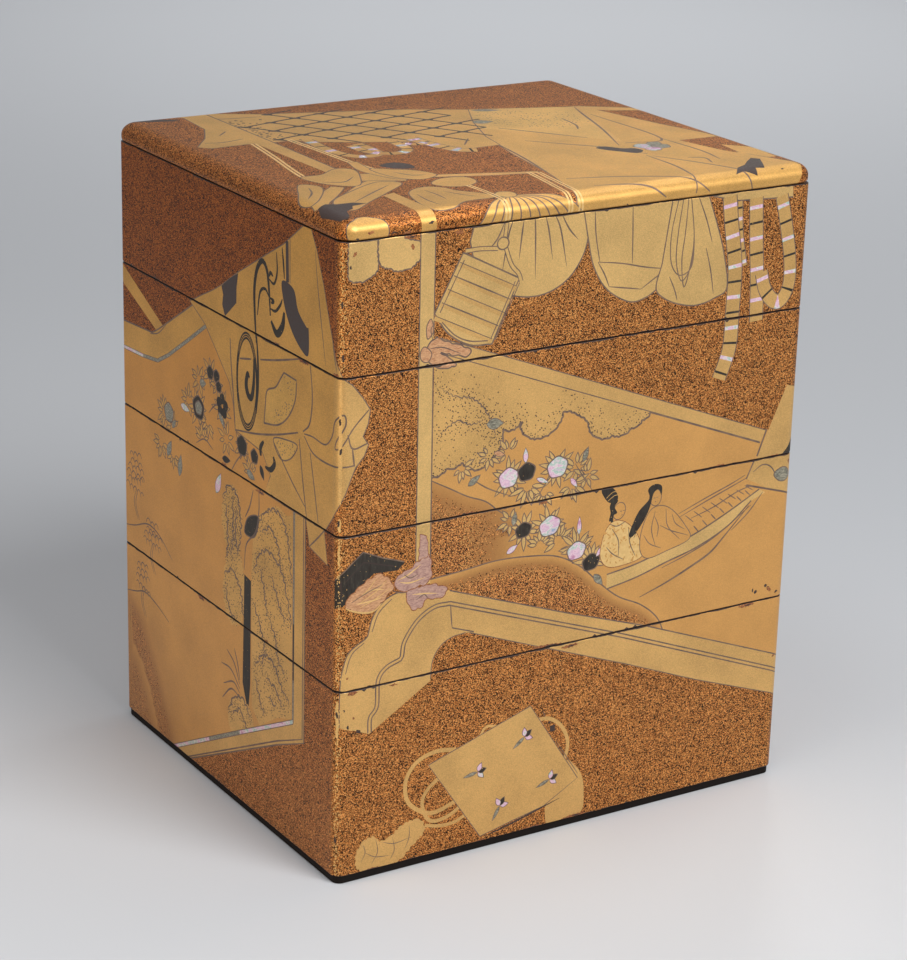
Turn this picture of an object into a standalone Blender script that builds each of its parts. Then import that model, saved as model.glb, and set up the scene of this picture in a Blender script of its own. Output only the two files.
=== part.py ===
"""Stacked food box of lacquered wood: four open tiers and a lid that rest one on another.

Units are metres and +Z is up. The origin is the middle of the underside. The wide front faces -Y and the
narrower side that is seen with it faces -X. Each tier has a stepped base that drops into the mouth of the
tier below, and the lid has a flange that drops into the mouth of the top tier.
"""

import bmesh
import bpy

# Outside of the tiers
BOX_WIDTH = 0.226
BOX_DEPTH = 0.198
CORNER_RADIUS = 0.0045
TOP_TIER_HEIGHT = 0.054
UPPER_MIDDLE_TIER_HEIGHT = 0.065
LOWER_MIDDLE_TIER_HEIGHT = 0.066
BOTTOM_TIER_HEIGHT = 0.083
EDGE_ROUNDING = 0.0006

# Inside of the tiers
WALL_THICKNESS = 0.006
FLOOR_THICKNESS = 0.0045
INNER_CORNER_RADIUS = 0.004

# How one tier sits on the next, and the box on its foot
SEAM_GAP = 0.0003
BASE_DROP = 0.003
BASE_CLEARANCE = 0.0005
FOOT_HEIGHT = 0.003
FOOT_INSET = 0.002

# Lid
LID_HEIGHT = 0.0085
LID_OVERHANG = 0.0005
LID_CORNER_RADIUS = 0.007
LID_SHOULDER_RADIUS = 0.0055
LID_LOWER_ROUNDING = 0.0012
LID_BOARD_THICKNESS = 0.004
LID_FLANGE_DROP = 0.004
LID_FLANGE_THICKNESS = 0.004
LID_FLANGE_CLEARANCE = 0.0005

# Smoothness of the faceted curves
CORNER_SEGMENTS = 6
SHOULDER_SEGMENTS = 6
ROUNDING_SEGMENTS = 2
CUTTER_OVERRUN = 0.002

LACQUERS = {
    "lid": (0.48, 0.27, 0.10, 1.0),
    "top_tier": (0.40, 0.21, 0.08, 1.0),
    "upper_middle_tier": (0.42, 0.23, 0.09, 1.0),
    "lower_middle_tier": (0.44, 0.25, 0.09, 1.0),
    "bottom_tier": (0.38, 0.20, 0.08, 1.0),
}

MOUTH_WIDTH = BOX_WIDTH - 2 * WALL_THICKNESS
MOUTH_DEPTH = BOX_DEPTH - 2 * WALL_THICKNESS


def clear_scene():
    for obj in list(bpy.data.objects):
        bpy.data.objects.remove(obj, do_unlink=True)
    for mesh in list(bpy.data.meshes):
        bpy.data.meshes.remove(mesh)


def make_collection(name):
    collection = bpy.data.collections.new(name)
    bpy.context.scene.collection.children.link(collection)
    return collection


def lacquer(name):
    """Gold-sprinkled lacquer: a brown gold with a soft gloss."""
    material = bpy.data.materials.new(name + "_lacquer")
    material.use_nodes = True
    shader = material.node_tree.nodes["Principled BSDF"]
    shader.inputs["Base Color"].default_value = LACQUERS[name]
    shader.inputs["Roughness"].default_value = 0.35
    shader.inputs["Metallic"].default_value = 0.3
    return material


def round_edges(bm, chosen, radius, segments):
    edges = [edge for edge in bm.edges if chosen(*edge.verts)]
    bmesh.ops.bevel(
        bm,
        geom=edges,
        offset=radius,
        segments=segments,
        profile=0.5,
        affect="EDGES",
        clamp_overlap=True,
    )


def level_at(height):
    """Chooses the edges that lie level at this height."""
    near = 1e-6
    return lambda a, b: abs(a.co.z - height) < near and abs(b.co.z - height) < near


def upright(a, b):
    return abs(a.co.z - b.co.z) > 1e-6 and (a.co - b.co).xy.length < 1e-6


def slab(name, width, depth, low, high, corner_radius, shoulder=0.0, lower_rounding=0.0):
    """A block with rounded upright corners, and with rounded top and bottom edges where radii are given."""
    bm = bmesh.new()
    bmesh.ops.create_cube(bm, size=1.0)
    bmesh.ops.scale(bm, vec=(width, depth, high - low), verts=bm.verts)
    bmesh.ops.translate(bm, vec=(0.0, 0.0, (low + high) / 2), verts=bm.verts)
    round_edges(bm, upright, corner_radius, CORNER_SEGMENTS)
    if shoulder:
        round_edges(bm, level_at(high), shoulder, SHOULDER_SEGMENTS)
    if lower_rounding:
        round_edges(bm, level_at(low), lower_rounding, ROUNDING_SEGMENTS)
    bmesh.ops.recalc_face_normals(bm, faces=bm.faces)
    mesh = bpy.data.meshes.new(name)
    bm.to_mesh(mesh)
    bm.free()
    mesh.shade_smooth()
    mesh.set_sharp_from_angle(angle=0.6)
    return bpy.data.objects.new(name, mesh)


def add_piece(obj, z):
    pieces.objects.link(obj)
    obj.location = (0.0, 0.0, z)
    obj.data.materials.append(lacquer(obj.name))


def combine(obj, helper, operation):
    """Joins or cuts the object with a helper solid, which moves with it and isn't rendered."""
    cutters.objects.link(helper)
    helper.parent = obj
    helper.hide_render = True
    helper.display_type = "WIRE"
    boolean = obj.modifiers.new(helper.name, "BOOLEAN")
    boolean.operation = operation
    boolean.solver = "EXACT"
    boolean.object = helper


def round_rims(obj):
    """Takes the sharpness off every rim, step and floor edge. The upright corners are already round."""
    bevel = obj.modifiers.new("rounded rims", "BEVEL")
    bevel.width = EDGE_ROUNDING
    bevel.segments = ROUNDING_SEGMENTS
    bevel.limit_method = "ANGLE"
    bevel.angle_limit = 1.05


def make_tier(name, height, seat, base_width, base_depth, base_drop, base_corner):
    """An open tray whose walls stand on the level `seat`, with its base stepped in and dropped below it."""
    tier = slab(name, BOX_WIDTH, BOX_DEPTH, 0.0, height, CORNER_RADIUS)
    add_piece(tier, seat)
    floor_top = FLOOR_THICKNESS - base_drop
    base_top = max(floor_top, 0.0) + FLOOR_THICKNESS / 2
    base = slab(name + "_base", base_width, base_depth, -base_drop, base_top, base_corner)
    combine(tier, base, "UNION")
    hollow = slab(
        name + "_hollow",
        MOUTH_WIDTH,
        MOUTH_DEPTH,
        floor_top,
        height + CUTTER_OVERRUN,
        INNER_CORNER_RADIUS,
    )
    combine(tier, hollow, "DIFFERENCE")
    round_rims(tier)
    return seat + height + SEAM_GAP


def make_lid(seat):
    """A thick board with a rounded shoulder. A flange under it drops into the mouth of the top tier."""
    lid = slab(
        "lid",
        BOX_WIDTH + 2 * LID_OVERHANG,
        BOX_DEPTH + 2 * LID_OVERHANG,
        0.0,
        LID_HEIGHT,
        LID_CORNER_RADIUS,
        LID_SHOULDER_RADIUS,
        LID_LOWER_ROUNDING,
    )
    add_piece(lid, seat)
    flange_width = MOUTH_WIDTH - 2 * LID_FLANGE_CLEARANCE
    flange_depth = MOUTH_DEPTH - 2 * LID_FLANGE_CLEARANCE
    hollow_top = LID_HEIGHT - LID_BOARD_THICKNESS
    flange = slab(
        "lid_flange",
        flange_width,
        flange_depth,
        -LID_FLANGE_DROP,
        hollow_top / 2,
        INNER_CORNER_RADIUS - LID_FLANGE_CLEARANCE,
    )
    combine(lid, flange, "UNION")
    hollow = slab(
        "lid_hollow",
        flange_width - 2 * LID_FLANGE_THICKNESS,
        flange_depth - 2 * LID_FLANGE_THICKNESS,
        -LID_FLANGE_DROP - CUTTER_OVERRUN,
        hollow_top,
        INNER_CORNER_RADIUS,
    )
    combine(lid, hollow, "DIFFERENCE")
    round_rims(lid)


clear_scene()
pieces = make_collection("stacked food box")
cutters = make_collection("cutters")

seat = make_tier(
    "bottom_tier",
    BOTTOM_TIER_HEIGHT,
    FOOT_HEIGHT,
    BOX_WIDTH - 2 * FOOT_INSET,
    BOX_DEPTH - 2 * FOOT_INSET,
    FOOT_HEIGHT,
    CORNER_RADIUS - FOOT_INSET,
)
for tier_name, tier_height in (
    ("lower_middle_tier", LOWER_MIDDLE_TIER_HEIGHT),
    ("upper_middle_tier", UPPER_MIDDLE_TIER_HEIGHT),
    ("top_tier", TOP_TIER_HEIGHT),
):
    seat = make_tier(
        tier_name,
        tier_height,
        seat,
        MOUTH_WIDTH - 2 * BASE_CLEARANCE,
        MOUTH_DEPTH - 2 * BASE_CLEARANCE,
        BASE_DROP,
        INNER_CORNER_RADIUS - BASE_CLEARANCE,
    )
make_lid(seat)
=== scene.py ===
import math

import bpy
import numpy as np
from mathutils import Matrix, Vector, geometry


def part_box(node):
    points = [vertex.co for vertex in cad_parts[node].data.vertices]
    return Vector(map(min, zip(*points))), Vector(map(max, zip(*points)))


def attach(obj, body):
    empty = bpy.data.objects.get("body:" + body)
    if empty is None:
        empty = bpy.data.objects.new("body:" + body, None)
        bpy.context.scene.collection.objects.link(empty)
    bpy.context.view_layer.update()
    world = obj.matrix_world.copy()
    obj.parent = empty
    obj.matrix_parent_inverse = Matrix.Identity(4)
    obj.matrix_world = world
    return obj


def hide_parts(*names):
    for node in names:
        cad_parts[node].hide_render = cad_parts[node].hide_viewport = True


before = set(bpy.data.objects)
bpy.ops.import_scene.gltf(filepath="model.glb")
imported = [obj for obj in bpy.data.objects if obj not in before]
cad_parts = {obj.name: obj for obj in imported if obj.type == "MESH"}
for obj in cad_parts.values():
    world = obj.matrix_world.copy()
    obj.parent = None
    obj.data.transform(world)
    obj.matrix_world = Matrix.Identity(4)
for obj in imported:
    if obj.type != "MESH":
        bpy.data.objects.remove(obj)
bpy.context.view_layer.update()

# Stacked food box of gold lacquer. Pictures are laid out in millimetres on two charts: the side chart runs
# once round the walls, with s = 0 at the near upright corner, s > 0 on the front and s < 0 on the left side,
# and z up; the lid chart is the plan of the lid with its rounded edge rolled out flat.


def say(text):
    print("food box: " + text, flush=True)


# Sizes of the pieces, in millimetres

def boxOf(name):
    low, high = (np.array(corner) * 1000 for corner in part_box(name))
    return low, high


tierForm = {
    "names": ["bottom_tier", "lower_middle_tier", "upper_middle_tier", "top_tier"],
    "corner": 4.5, "innerCorner": 4.0, "wall": 6.0, "floor": 4.5, "drop": 3.0,
    "rim": 0.6, "lip": 0.5, "fillet": 1.2, "play": 0.5, "footInset": 0.8, "footHeight": 3.6,
    "lap": 0.4, "baseFillet": 0.5, "seatFillet": 0.3, "cornerSteps": 10, "sideStep": 4.0,
    "cornerMargin": 2.0, "floorRing": 3.5, "baseRing": 1.5, "mistStep": 2.2,
}

low, high = boxOf("bottom_tier")
width, depth = high[0] - low[0], high[1] - low[1]
halfX, halfY = width / 2, depth / 2
perimeter = 2 * (width + depth)
chartStart = -depth - width / 2  # the middle of the back
cornersAt = np.array([-depth, 0.0, width, width + depth])


# Charts

def ringPoint(side, share, turning, hx, hy, radius):
    # A rounded rectangle: share runs 0..1 along a straight side, or round the corner before it when turning.
    straightX, straightY = hx - radius, hy - radius
    sweep = 2 * share - 1
    xs = [straightX * sweep, hx + 0 * share, -straightX * sweep, -hx + 0 * share]
    ys = [-hy + 0 * share, straightY * sweep, hy + 0 * share, -straightY * sweep]
    angle = np.pi + (side + share) * np.pi / 2
    cornerX = np.choose(side, [-straightX, straightX, straightX, -straightX])
    cornerY = np.choose(side, [-straightY, -straightY, straightY, straightY])
    out = np.where(turning, angle, np.pi * 1.5 + side * np.pi / 2)
    normal = np.stack([np.cos(out), np.sin(out)], -1)
    x = np.where(turning, cornerX + radius * np.cos(angle), np.choose(side, xs))
    y = np.where(turning, cornerY + radius * np.sin(angle), np.choose(side, ys))
    return np.stack([x, y], -1), normal


def sideOf(s):
    # Splits the distance round the walls into a side, a share along it, and whether it is on a corner.
    radius = tierForm["corner"]
    s = np.mod(s + radius, perimeter) - radius
    starts = np.array([0, width, width + depth, 2 * width + depth])
    side = np.clip(np.searchsorted(starts - radius, s, side="right") - 1, 0, 3)
    lengths = np.array([width, depth, width, depth])[side]
    along = s - starts[side]
    turning = along < radius
    share = np.where(turning, (along + radius) / (2 * radius), (along - radius) / (lengths - 2 * radius))
    return side, np.clip(share, 0, 1), turning


def stationsOf(form):
    # Places along the wall chart where the plain rings have a point, once round.
    radius, found = form["corner"], []
    edges = [chartStart, *cornersAt, chartStart + perimeter]
    for a, b in zip(edges[:-1], edges[1:]):
        first = a if a == edges[0] else a + radius
        last = b if b == edges[-1] else b - radius
        count = max(2, int(round((last - first) / form["sideStep"])))
        found += list(np.linspace(first, last, count + 1))
        if b != edges[-1]:
            found += list(np.linspace(b - radius, b + radius, form["cornerSteps"] + 1)[1:-1])
    return np.array(found)


def wallSurface(chart, zLow, zHigh):
    # Chart to wall: straight up between the rims, a quarter round at each rim, then level inwards.
    rim = tierForm["rim"]
    side, share, turning = sideOf(chart[:, 0])
    z = chart[:, 1]
    over = np.maximum(z - (zHigh - rim), 0) - np.maximum((zLow + rim) - z, 0)
    bend = np.clip(np.abs(over) / rim, 0, 1) * np.pi / 2
    level = np.maximum(np.abs(over) - rim, 0)
    inset = rim * (1 - np.cos(bend)) + level
    centre = np.clip(z, zLow + rim, zHigh - rim)
    height = centre + np.sign(over) * rim * np.sin(bend)
    plain = ringPoint(side, share, turning, halfX, halfY, tierForm["corner"])
    points = plain[0] - plain[1] * inset[:, None]
    normals = np.column_stack([plain[1] * np.cos(bend)[:, None], np.sign(over) * np.sin(bend)])
    return np.column_stack([points, height]), normals


# Drawing on a chart: every outline is an array of points

def curve(points, steps=6, closed=False):
    # A Catmull-Rom spline: each stretch is the cubic whose slopes join the neighbours of its two ends.
    p = np.asarray(points, float)
    before = np.roll(p, 1, 0) if closed else np.vstack([2 * p[0] - p[1], p[:-1]])
    after = np.roll(p, -1, 0) if closed else np.vstack([p[1:], 2 * p[-1] - p[-2]])
    last = np.roll(after, -1, 0) if closed else np.vstack([after[1:], 2 * after[-1] - p[-1]])
    t = (np.arange(steps) / steps)[None, :, None]
    a, b, c, d = (q[:, None, :] for q in (before, p, after, last))
    found = 0.5 * (2 * b + (c - a) * t + (2 * a - 5 * b + 4 * c - d) * t**2 + (3 * b - a - 3 * c + d) * t**3)
    found = found if closed else found[:-1]
    found = found.reshape(-1, 2)
    return found if closed else np.vstack([found, p[-1:]])


def scallops(points, bulge, steps=6):
    # A row of arcs: each stretch bows out to its left by bulge times its length.
    p = np.asarray(points, float)
    a, b = p[:-1, None, :], p[1:, None, :]
    t = (np.arange(steps) / steps)[None, :, None]
    left = np.stack([-(b - a)[..., 1], (b - a)[..., 0]], -1)
    found = a + (b - a) * t + left * bulge * 4 * t * (1 - t)
    return np.vstack([found.reshape(-1, 2), p[-1:]])


def ellipse(x, y, rx, ry, turn=0.0, steps=24):
    a = np.linspace(0, 2 * np.pi, steps, endpoint=False)
    return turned(np.column_stack([rx * np.cos(a), ry * np.sin(a)]), turn) + [x, y]


def turned(points, degrees):
    c, s = math.cos(math.radians(degrees)), math.sin(math.radians(degrees))
    return np.asarray(points, float) @ np.array([[c, s], [-s, c]])


def ribbonOf(line, width, taper=0.0):
    # A band along a line: both sides are the line moved along its normals, thinned towards the ends.
    line = np.asarray(line, float)
    way = np.gradient(line, axis=0)
    way /= np.maximum(np.linalg.norm(way, axis=1, keepdims=True), 1e-9)
    normal = np.column_stack([-way[:, 1], way[:, 0]])
    run = np.linspace(0, 1, len(line))
    half = 0.5 * width * (1 - taper * np.abs(2 * run - 1) ** 2)
    return line + normal * half[:, None], line - normal * half[:, None]


def bandOf(line, width, taper=0.0):
    one, other = ribbonOf(line, width, taper)
    return np.vstack([one, other[::-1]])


class Picture:
    # Shapes in the order they are laid on. A later one hides what is under it.
    def __init__(self):
        self.shapes, self.mists = [], []

    def fill(self, kind, outline):
        self.shapes.append((kind, np.asarray(outline, float)))

    def mist(self, outline, line, reach, start, end):
        self.mists.append((np.asarray(outline, float), np.asarray(line, float), reach, start, end))

    def line(self, kind, points, width, taper):
        one, other = ribbonOf(points, width * inkWidth["weight"] if kind == ink else width, taper)
        for first in range(0, len(one) - 1, 8):
            piece = slice(first, first + 9)
            self.fill(kind, np.vstack([one[piece], other[piece][::-1]]))


def clipLevel(outline, axis, level, keepAbove):
    # Cuts an outline at a level of one axis: a point is added at each crossing, and the far side is dropped.
    a, b = outline, np.roll(outline, -1, 0)
    sign = 1 if keepAbove else -1
    da, db = sign * (a[:, axis] - level), sign * (b[:, axis] - level)
    crossing = (da > 0) != (db > 0)
    share = np.where(crossing, da / np.where(crossing, da - db, 1), 0)
    cut = a + (b - a) * share[:, None]
    pairs = np.stack([a, cut], 1).reshape(-1, 2)
    keep = np.column_stack([da > 0, crossing]).reshape(-1)
    return pairs[keep]


def within(outline, points):
    # Winding number: how often the outline goes round each point.
    a, b = outline, np.roll(outline, -1, 0)
    x, y = points[:, 0:1], points[:, 1:2]
    up = (a[:, 1] <= y) & (b[:, 1] > y)
    down = (a[:, 1] > y) & (b[:, 1] <= y)
    left = (b[:, 0] - a[:, 0]) * (y - a[:, 1]) - (x - a[:, 0]) * (b[:, 1] - a[:, 1])
    return (up & (left > 0)).sum(1) - (down & (left < 0)).sum(1) != 0


def distanceTo(line, points):
    # Shortest distance from each point to a line of straight stretches.
    a, b = line[:-1][None], line[1:][None]
    p = points[:, None, :]
    share = ((p - a) * (b - a)).sum(-1) / np.maximum(((b - a) ** 2).sum(-1), 1e-9)
    nearest = a + (b - a) * np.clip(share, 0, 1)[..., None]
    return np.linalg.norm(p - nearest, axis=-1).min(1)


def inlay(shapes, loops, loose):
    # One flat triangle mesh with an edge along every outline. Each triangle takes the last shape over it.
    outlines = [(outline, True) for _, outline in shapes] + loops
    points = np.vstack([outline for outline, _ in outlines] + [loose])
    edges, first = [], 0
    for outline, closed in outlines:
        count = len(outline)
        index = np.arange(first, first + count)
        pairs = np.column_stack([index, np.roll(index, -1)])
        edges.append(pairs if closed else pairs[:-1])
        first += count
    made = geometry.delaunay_2d_cdt(
        [Vector(point) for point in points.tolist()], np.vstack(edges).tolist(), [], 0, 1e-4
    )
    flat = np.array([tuple(point) for point in made[0]])
    faces = np.array(made[2])
    owner = np.array([owners[0] if owners else -1 for owners in made[3]])
    flat[owner >= 0] = points[owner[owner >= 0]]
    middle = flat[faces].mean(1)
    kinds = np.zeros(len(faces), int)
    order = np.argsort(middle[:, 0])
    sortedX = middle[order, 0]
    for kind, outline in shapes:
        (lowX, lowY), (highX, highY) = outline.min(0), outline.max(0)
        near = order[np.searchsorted(sortedX, lowX) : np.searchsorted(sortedX, highX)]
        near = near[(middle[near, 1] > lowY) & (middle[near, 1] < highY)]
        kinds[near[within(outline, middle[near])]] = kind
    return flat, faces, kinds


def meshOf(name, points, normals, faces, kinds, materials, attributes):
    # Welds points that share a place, drops faces that close up, and keeps the worked-out normals.
    _, first, index = np.unique(np.round(points, 3), axis=0, return_index=True, return_inverse=True)
    faces = index.reshape(-1)[faces]
    whole = (faces[:, 0] != faces[:, 1]) & (faces[:, 1] != faces[:, 2]) & (faces[:, 2] != faces[:, 0])
    faces, kinds = faces[whole], kinds[whole]
    points, normals = points[first] / 1000, normals[first]
    mesh = bpy.data.meshes.new(name)
    mesh.vertices.add(len(points))
    mesh.vertices.foreach_set("co", points.ravel())
    mesh.loops.add(faces.size)
    mesh.loops.foreach_set("vertex_index", faces.ravel())
    mesh.polygons.add(len(faces))
    mesh.polygons.foreach_set("loop_start", np.arange(0, faces.size, 3))
    for material in materials:
        mesh.materials.append(material)
    mesh.polygons.foreach_set("material_index", kinds)
    for label, values in attributes.items():
        mesh.attributes.new(label, "FLOAT", "POINT").data.foreach_set("value", values[first])
    mesh.update(calc_edges=True)
    mesh.shade_smooth()
    mesh.normals_split_custom_set_from_vertices(normals)
    piece = bpy.data.objects.new(name, mesh)
    bpy.context.scene.collection.objects.link(piece)
    return piece


def profileOf(corners, radii):
    # A path of (outward, up) points with each inner corner rounded by an arc. The surface faces its right.
    p, arcSteps = np.asarray(corners, float), 4
    ways = np.diff(p, axis=0)
    ways /= np.linalg.norm(ways, axis=1, keepdims=True)
    points, normals = [p[:1]], [[(ways[0, 1], -ways[0, 0])]]
    for k, radius in enumerate(radii, 1):
        one, two = ways[k - 1], ways[k]
        cross = one[0] * two[1] - one[1] * two[0]
        angle = math.atan2(abs(cross), one @ two)
        start = p[k] - one * radius * math.tan(angle / 2)
        swing = np.linspace(0, angle, arcSteps + 1) * np.sign(cross)
        c, s = np.cos(swing), np.sin(swing)
        first = np.array([one[1], -one[0]])
        around = np.column_stack([first[0] * c - first[1] * s, first[0] * s + first[1] * c])
        centre = start - first * radius * np.sign(cross)
        points.append(centre + around * radius * np.sign(cross))
        normals.append(around)
    points.append(p[-1:])
    normals.append([(ways[-1, 1], -ways[-1, 0])])
    return np.vstack(points), np.vstack(normals)


def loftRings(profile, ringForm, stations, hub):
    # Carries a profile round rounded rectangles. hub 0 or -1 closes the first or last ring with a fan.
    points, normals = profile
    side, share, turning = stations
    count, rings = len(side), len(points)
    placed, facing = [], []
    for (out, up), (normalOut, normalUp) in zip(points, normals):
        hx, hy, radius = ringForm(out)
        ring, outward = ringPoint(side, share, turning, hx, hy, radius)
        placed.append(np.column_stack([ring, np.full(count, up)]))
        facing.append(np.column_stack([outward * normalOut, np.full(count, normalUp)]))
    placed, facing = np.vstack(placed), np.vstack(facing)
    i, j = np.meshgrid(np.arange(rings - 1), np.arange(count - 1), indexing="ij")
    a = (i * count + j).ravel()
    quads = np.column_stack([a, a + 1, a + count + 1, a + count])
    faces = np.vstack([quads[:, [0, 1, 2]], quads[:, [0, 2, 3]]])
    up, faceUp = points[hub][1], normals[hub][1]
    placed = np.vstack([placed, [[0, 0, up]]])
    facing = np.vstack([facing, [[0, 0, faceUp]]])
    centre = np.full(count - 1, len(placed) - 1)
    ring = np.arange(count - 1) + (0 if hub == 0 else (rings - 1) * count)
    fan = [centre, ring + 1, ring] if hub == 0 else [ring, ring + 1, centre]
    faces = np.vstack([faces, np.column_stack(fan)])
    return placed, facing, faces


# Materials

def tone(red, green, blue):
    # A colour given in display values 0..255, as the linear colour that a shader wants.
    c = np.array([red, green, blue]) / 255
    c = np.where(c <= 0.04045, c / 12.92, ((c + 0.055) / 1.055) ** 2.4)
    return (float(c[0]), float(c[1]), float(c[2]), 1.0)


class Wire:
    # A node's output, so that shader maths reads as an expression.
    def __init__(self, lacquer, socket):
        self.lacquer, self.socket = lacquer, socket

    def maths(self, operation, one, other):
        return self.lacquer.add("ShaderNodeMath", {"operation": operation}, {0: one, 1: other})

    def __add__(self, other):
        return self.maths("ADD", self, other)

    def __sub__(self, other):
        return self.maths("SUBTRACT", self, other)

    def __rsub__(self, other):
        return self.maths("SUBTRACT", other, self)

    def __mul__(self, other):
        return self.maths("MULTIPLY", self, other)

    def __gt__(self, other):
        return self.maths("GREATER_THAN", self, other)

    __radd__, __rmul__ = __add__, __mul__


class Lacquer:
    # One material, with its nodes added one by one.
    def __init__(self, name, **constants):
        self.material = bpy.data.materials.new(name)
        self.material.use_nodes = True
        self.tree = self.material.node_tree
        self.surface = self.tree.nodes["Principled BSDF"]
        self.place = self.add("ShaderNodeTexCoord", output="Object")
        for name, value in constants.items():
            self.surface.inputs[name.replace("_", " ")].default_value = value

    def add(self, kind, settings=None, inputs=None, output=0):
        node = self.tree.nodes.new(kind)
        for name, value in (settings or {}).items():
            if name == "stops":
                ramp = node.color_ramp
                while len(ramp.elements) < len(value):
                    ramp.elements.new(0.5)
                for element, (position, colour) in zip(ramp.elements, value):
                    element.position, element.color = position, colour
            else:
                setattr(node, name, value)
        for name, value in (inputs or {}).items():
            self.feed(node.inputs[name], value)
        return Wire(self, node.outputs[output])

    def feed(self, socket, value):
        if isinstance(value, Wire):
            self.tree.links.new(value.socket, socket)
        else:
            socket.default_value = value

    def show(self, **inputs):
        for name, value in inputs.items():
            self.feed(self.surface.inputs[name.replace("_", " ")], value)

    def noise(self, size, detail, roughness=0.5, stretch=(1, 1, 1)):
        # Noise whose features are about size millimetres across.
        place = self.add("ShaderNodeVectorMath", {"operation": "MULTIPLY"}, {0: self.place, 1: stretch})
        inputs = {"Vector": place, "Scale": 1000 / size, "Detail": detail, "Roughness": roughness}
        return self.add("ShaderNodeTexNoise", {}, inputs)

    def grains(self, size):
        # One random colour for each grain of about size millimetres.
        inputs = {"Vector": self.place, "Scale": 1000 / size}
        return self.add("ShaderNodeTexVoronoi", {}, inputs, "Color")

    def part(self, colour, channel):
        return self.add("ShaderNodeSeparateColor", {}, {0: colour}, channel)

    def ramp(self, factor, stops):
        return self.add("ShaderNodeValToRGB", {"stops": stops}, {0: factor})

    def mix(self, factor, one, two):
        return self.add("ShaderNodeMix", {"data_type": "RGBA"}, {0: factor, 6: one, 7: two}, 2)

    def bump(self, height, distance, strength):
        inputs = {"Height": height, "Distance": distance, "Strength": strength}
        return self.add("ShaderNodeBump", {}, inputs)

    def shadeTinted(self, colour, tint):
        # Painted shade: the colour is multiplied by a darker, warmer tint on the left side, most of all
        # towards its top, and at half strength over the lid.
        deeper = self.add("ShaderNodeMix", {"data_type": "RGBA", "blend_type": "MULTIPLY"},
            {0: 1.0, 6: colour, 7: tint}, 2)
        return self.mix(self.attribute("warm"), colour, deeper)

    def attribute(self, name):
        return self.add("ShaderNodeAttribute", {"attribute_name": name}, {}, "Fac")


# The last two tints are painted shade, multiplied into the ground and gold on the left side and the lid.
sprinkle = {
    "grain": 0.31, "dark": tone(30, 20, 13), "brown": tone(118, 70, 34), "orange": tone(192, 119, 60),
    "bright": tone(242, 174, 100), "darkShare": 0.3, "wornDark": tone(28, 17, 12),
    "groundShadeTint": tone(220, 190, 156), "goldShadeTint": tone(255, 242, 198),
}
goldTones = {
    "gold": tone(214, 170, 104), "deep": tone(208, 155, 88), "pale": tone(220, 180, 114),
    "ink": tone(100, 82, 74), "dark": tone(62, 58, 52), "coral": tone(198, 148, 106),
    "lilac": tone(182, 142, 128), "rubbed": tone(176, 118, 72),
}


def sprinkled(look):
    # Flakes of gold in dark lacquer: a random number for each grain picks dark, brown, orange or bright.
    random = look.part(look.grains(sprinkle["grain"]), "Red")
    cloud = look.noise(9.0, 3.0)
    level = random + (cloud - 0.5) * 0.2
    share = sprinkle["darkShare"]
    stops = [(0.0, sprinkle["dark"]), (share, sprinkle["dark"]), (share + 0.07, sprinkle["brown"]),
             (0.62, sprinkle["orange"]), (0.97, sprinkle["bright"])]
    return look.ramp(level, stops), random


def groundLook():
    look = Lacquer("sprinkled_ground", Coat_Weight=0.05, Coat_Roughness=0.16, Specular_IOR_Level=0.12)
    colour, random = sprinkled(look)
    # Painted shade on the left side and the lid.
    colour = look.shadeTinted(colour, sprinkle["groundShadeTint"])
    wear = look.attribute("wear")
    rubbed = (wear * 1.15 + look.noise(2.2, 4.0, 0.65)) > 1.5
    look.show(
        Base_Color=look.mix(rubbed, colour, sprinkle["wornDark"]),
        Metallic=(random > 0.35) * 0.6,
        Roughness=0.36 + random * 0.14,
        Normal=look.bump(random, 0.00003, 0.35),
    )
    return look.material


def goldLook(name, base, spread=0.12, mist=False, metallic=0.62):
    # Burnished gold powder: fine grain, slow clouds and faint brushing, with rubbed spots along the rims.
    look = Lacquer(name, Coat_Weight=0.14, Coat_Roughness=0.14, Specular_IOR_Level=0.25)
    grain = look.part(look.grains(0.28), "Green")
    cloud = look.noise(22.0, 3.0)
    brushed = look.noise(1.6, 3.0, 0.6, (1, 1, 4))
    dark = tuple(c * (1 - 2.2 * spread) for c in base[:3]) + (1.0,)
    light = tuple(min(1.0, c * (1 + 1.4 * spread)) for c in base[:3]) + (1.0,)
    level = grain * 0.45 + (cloud - 0.5) * 0.9 + brushed * 0.35
    colour = look.ramp(level, [(0.02, dark), (0.67, light)])
    if mist:
        flakes, random = sprinkled(look)
        share = look.attribute("mist")
        veil = look.mix(share * (1 - share) * 2.4, colour, tone(142, 90, 52))
        colour = look.mix((share * 1.35 - look.part(look.grains(0.5), "Blue")) > 0.35, veil, flakes)
    # Painted shade on the left side and the lid.
    colour = look.shadeTinted(colour, sprinkle["goldShadeTint"])
    wear = look.attribute("wear")
    rubbed = (wear * 0.9 + look.noise(1.8, 4.0, 0.7)) > 1.4
    look.show(
        Base_Color=look.mix(rubbed, colour, sprinkle["brown"]),
        Metallic=metallic - rubbed * 0.3,
        Roughness=0.36 + brushed * 0.14,
        Normal=look.bump(grain + brushed, 0.00002, 0.3),
    )
    return look.material


def lineLook():
    look = Lacquer("ink_line", Metallic=0.3)
    cloud = look.noise(5.0, 2.0)
    faded = look.ramp(cloud, [(0.35, goldTones["ink"]), (0.7, tone(134, 108, 86))])
    look.show(Base_Color=faded, Roughness=0.4 + cloud * 0.2)
    return look.material


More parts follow.
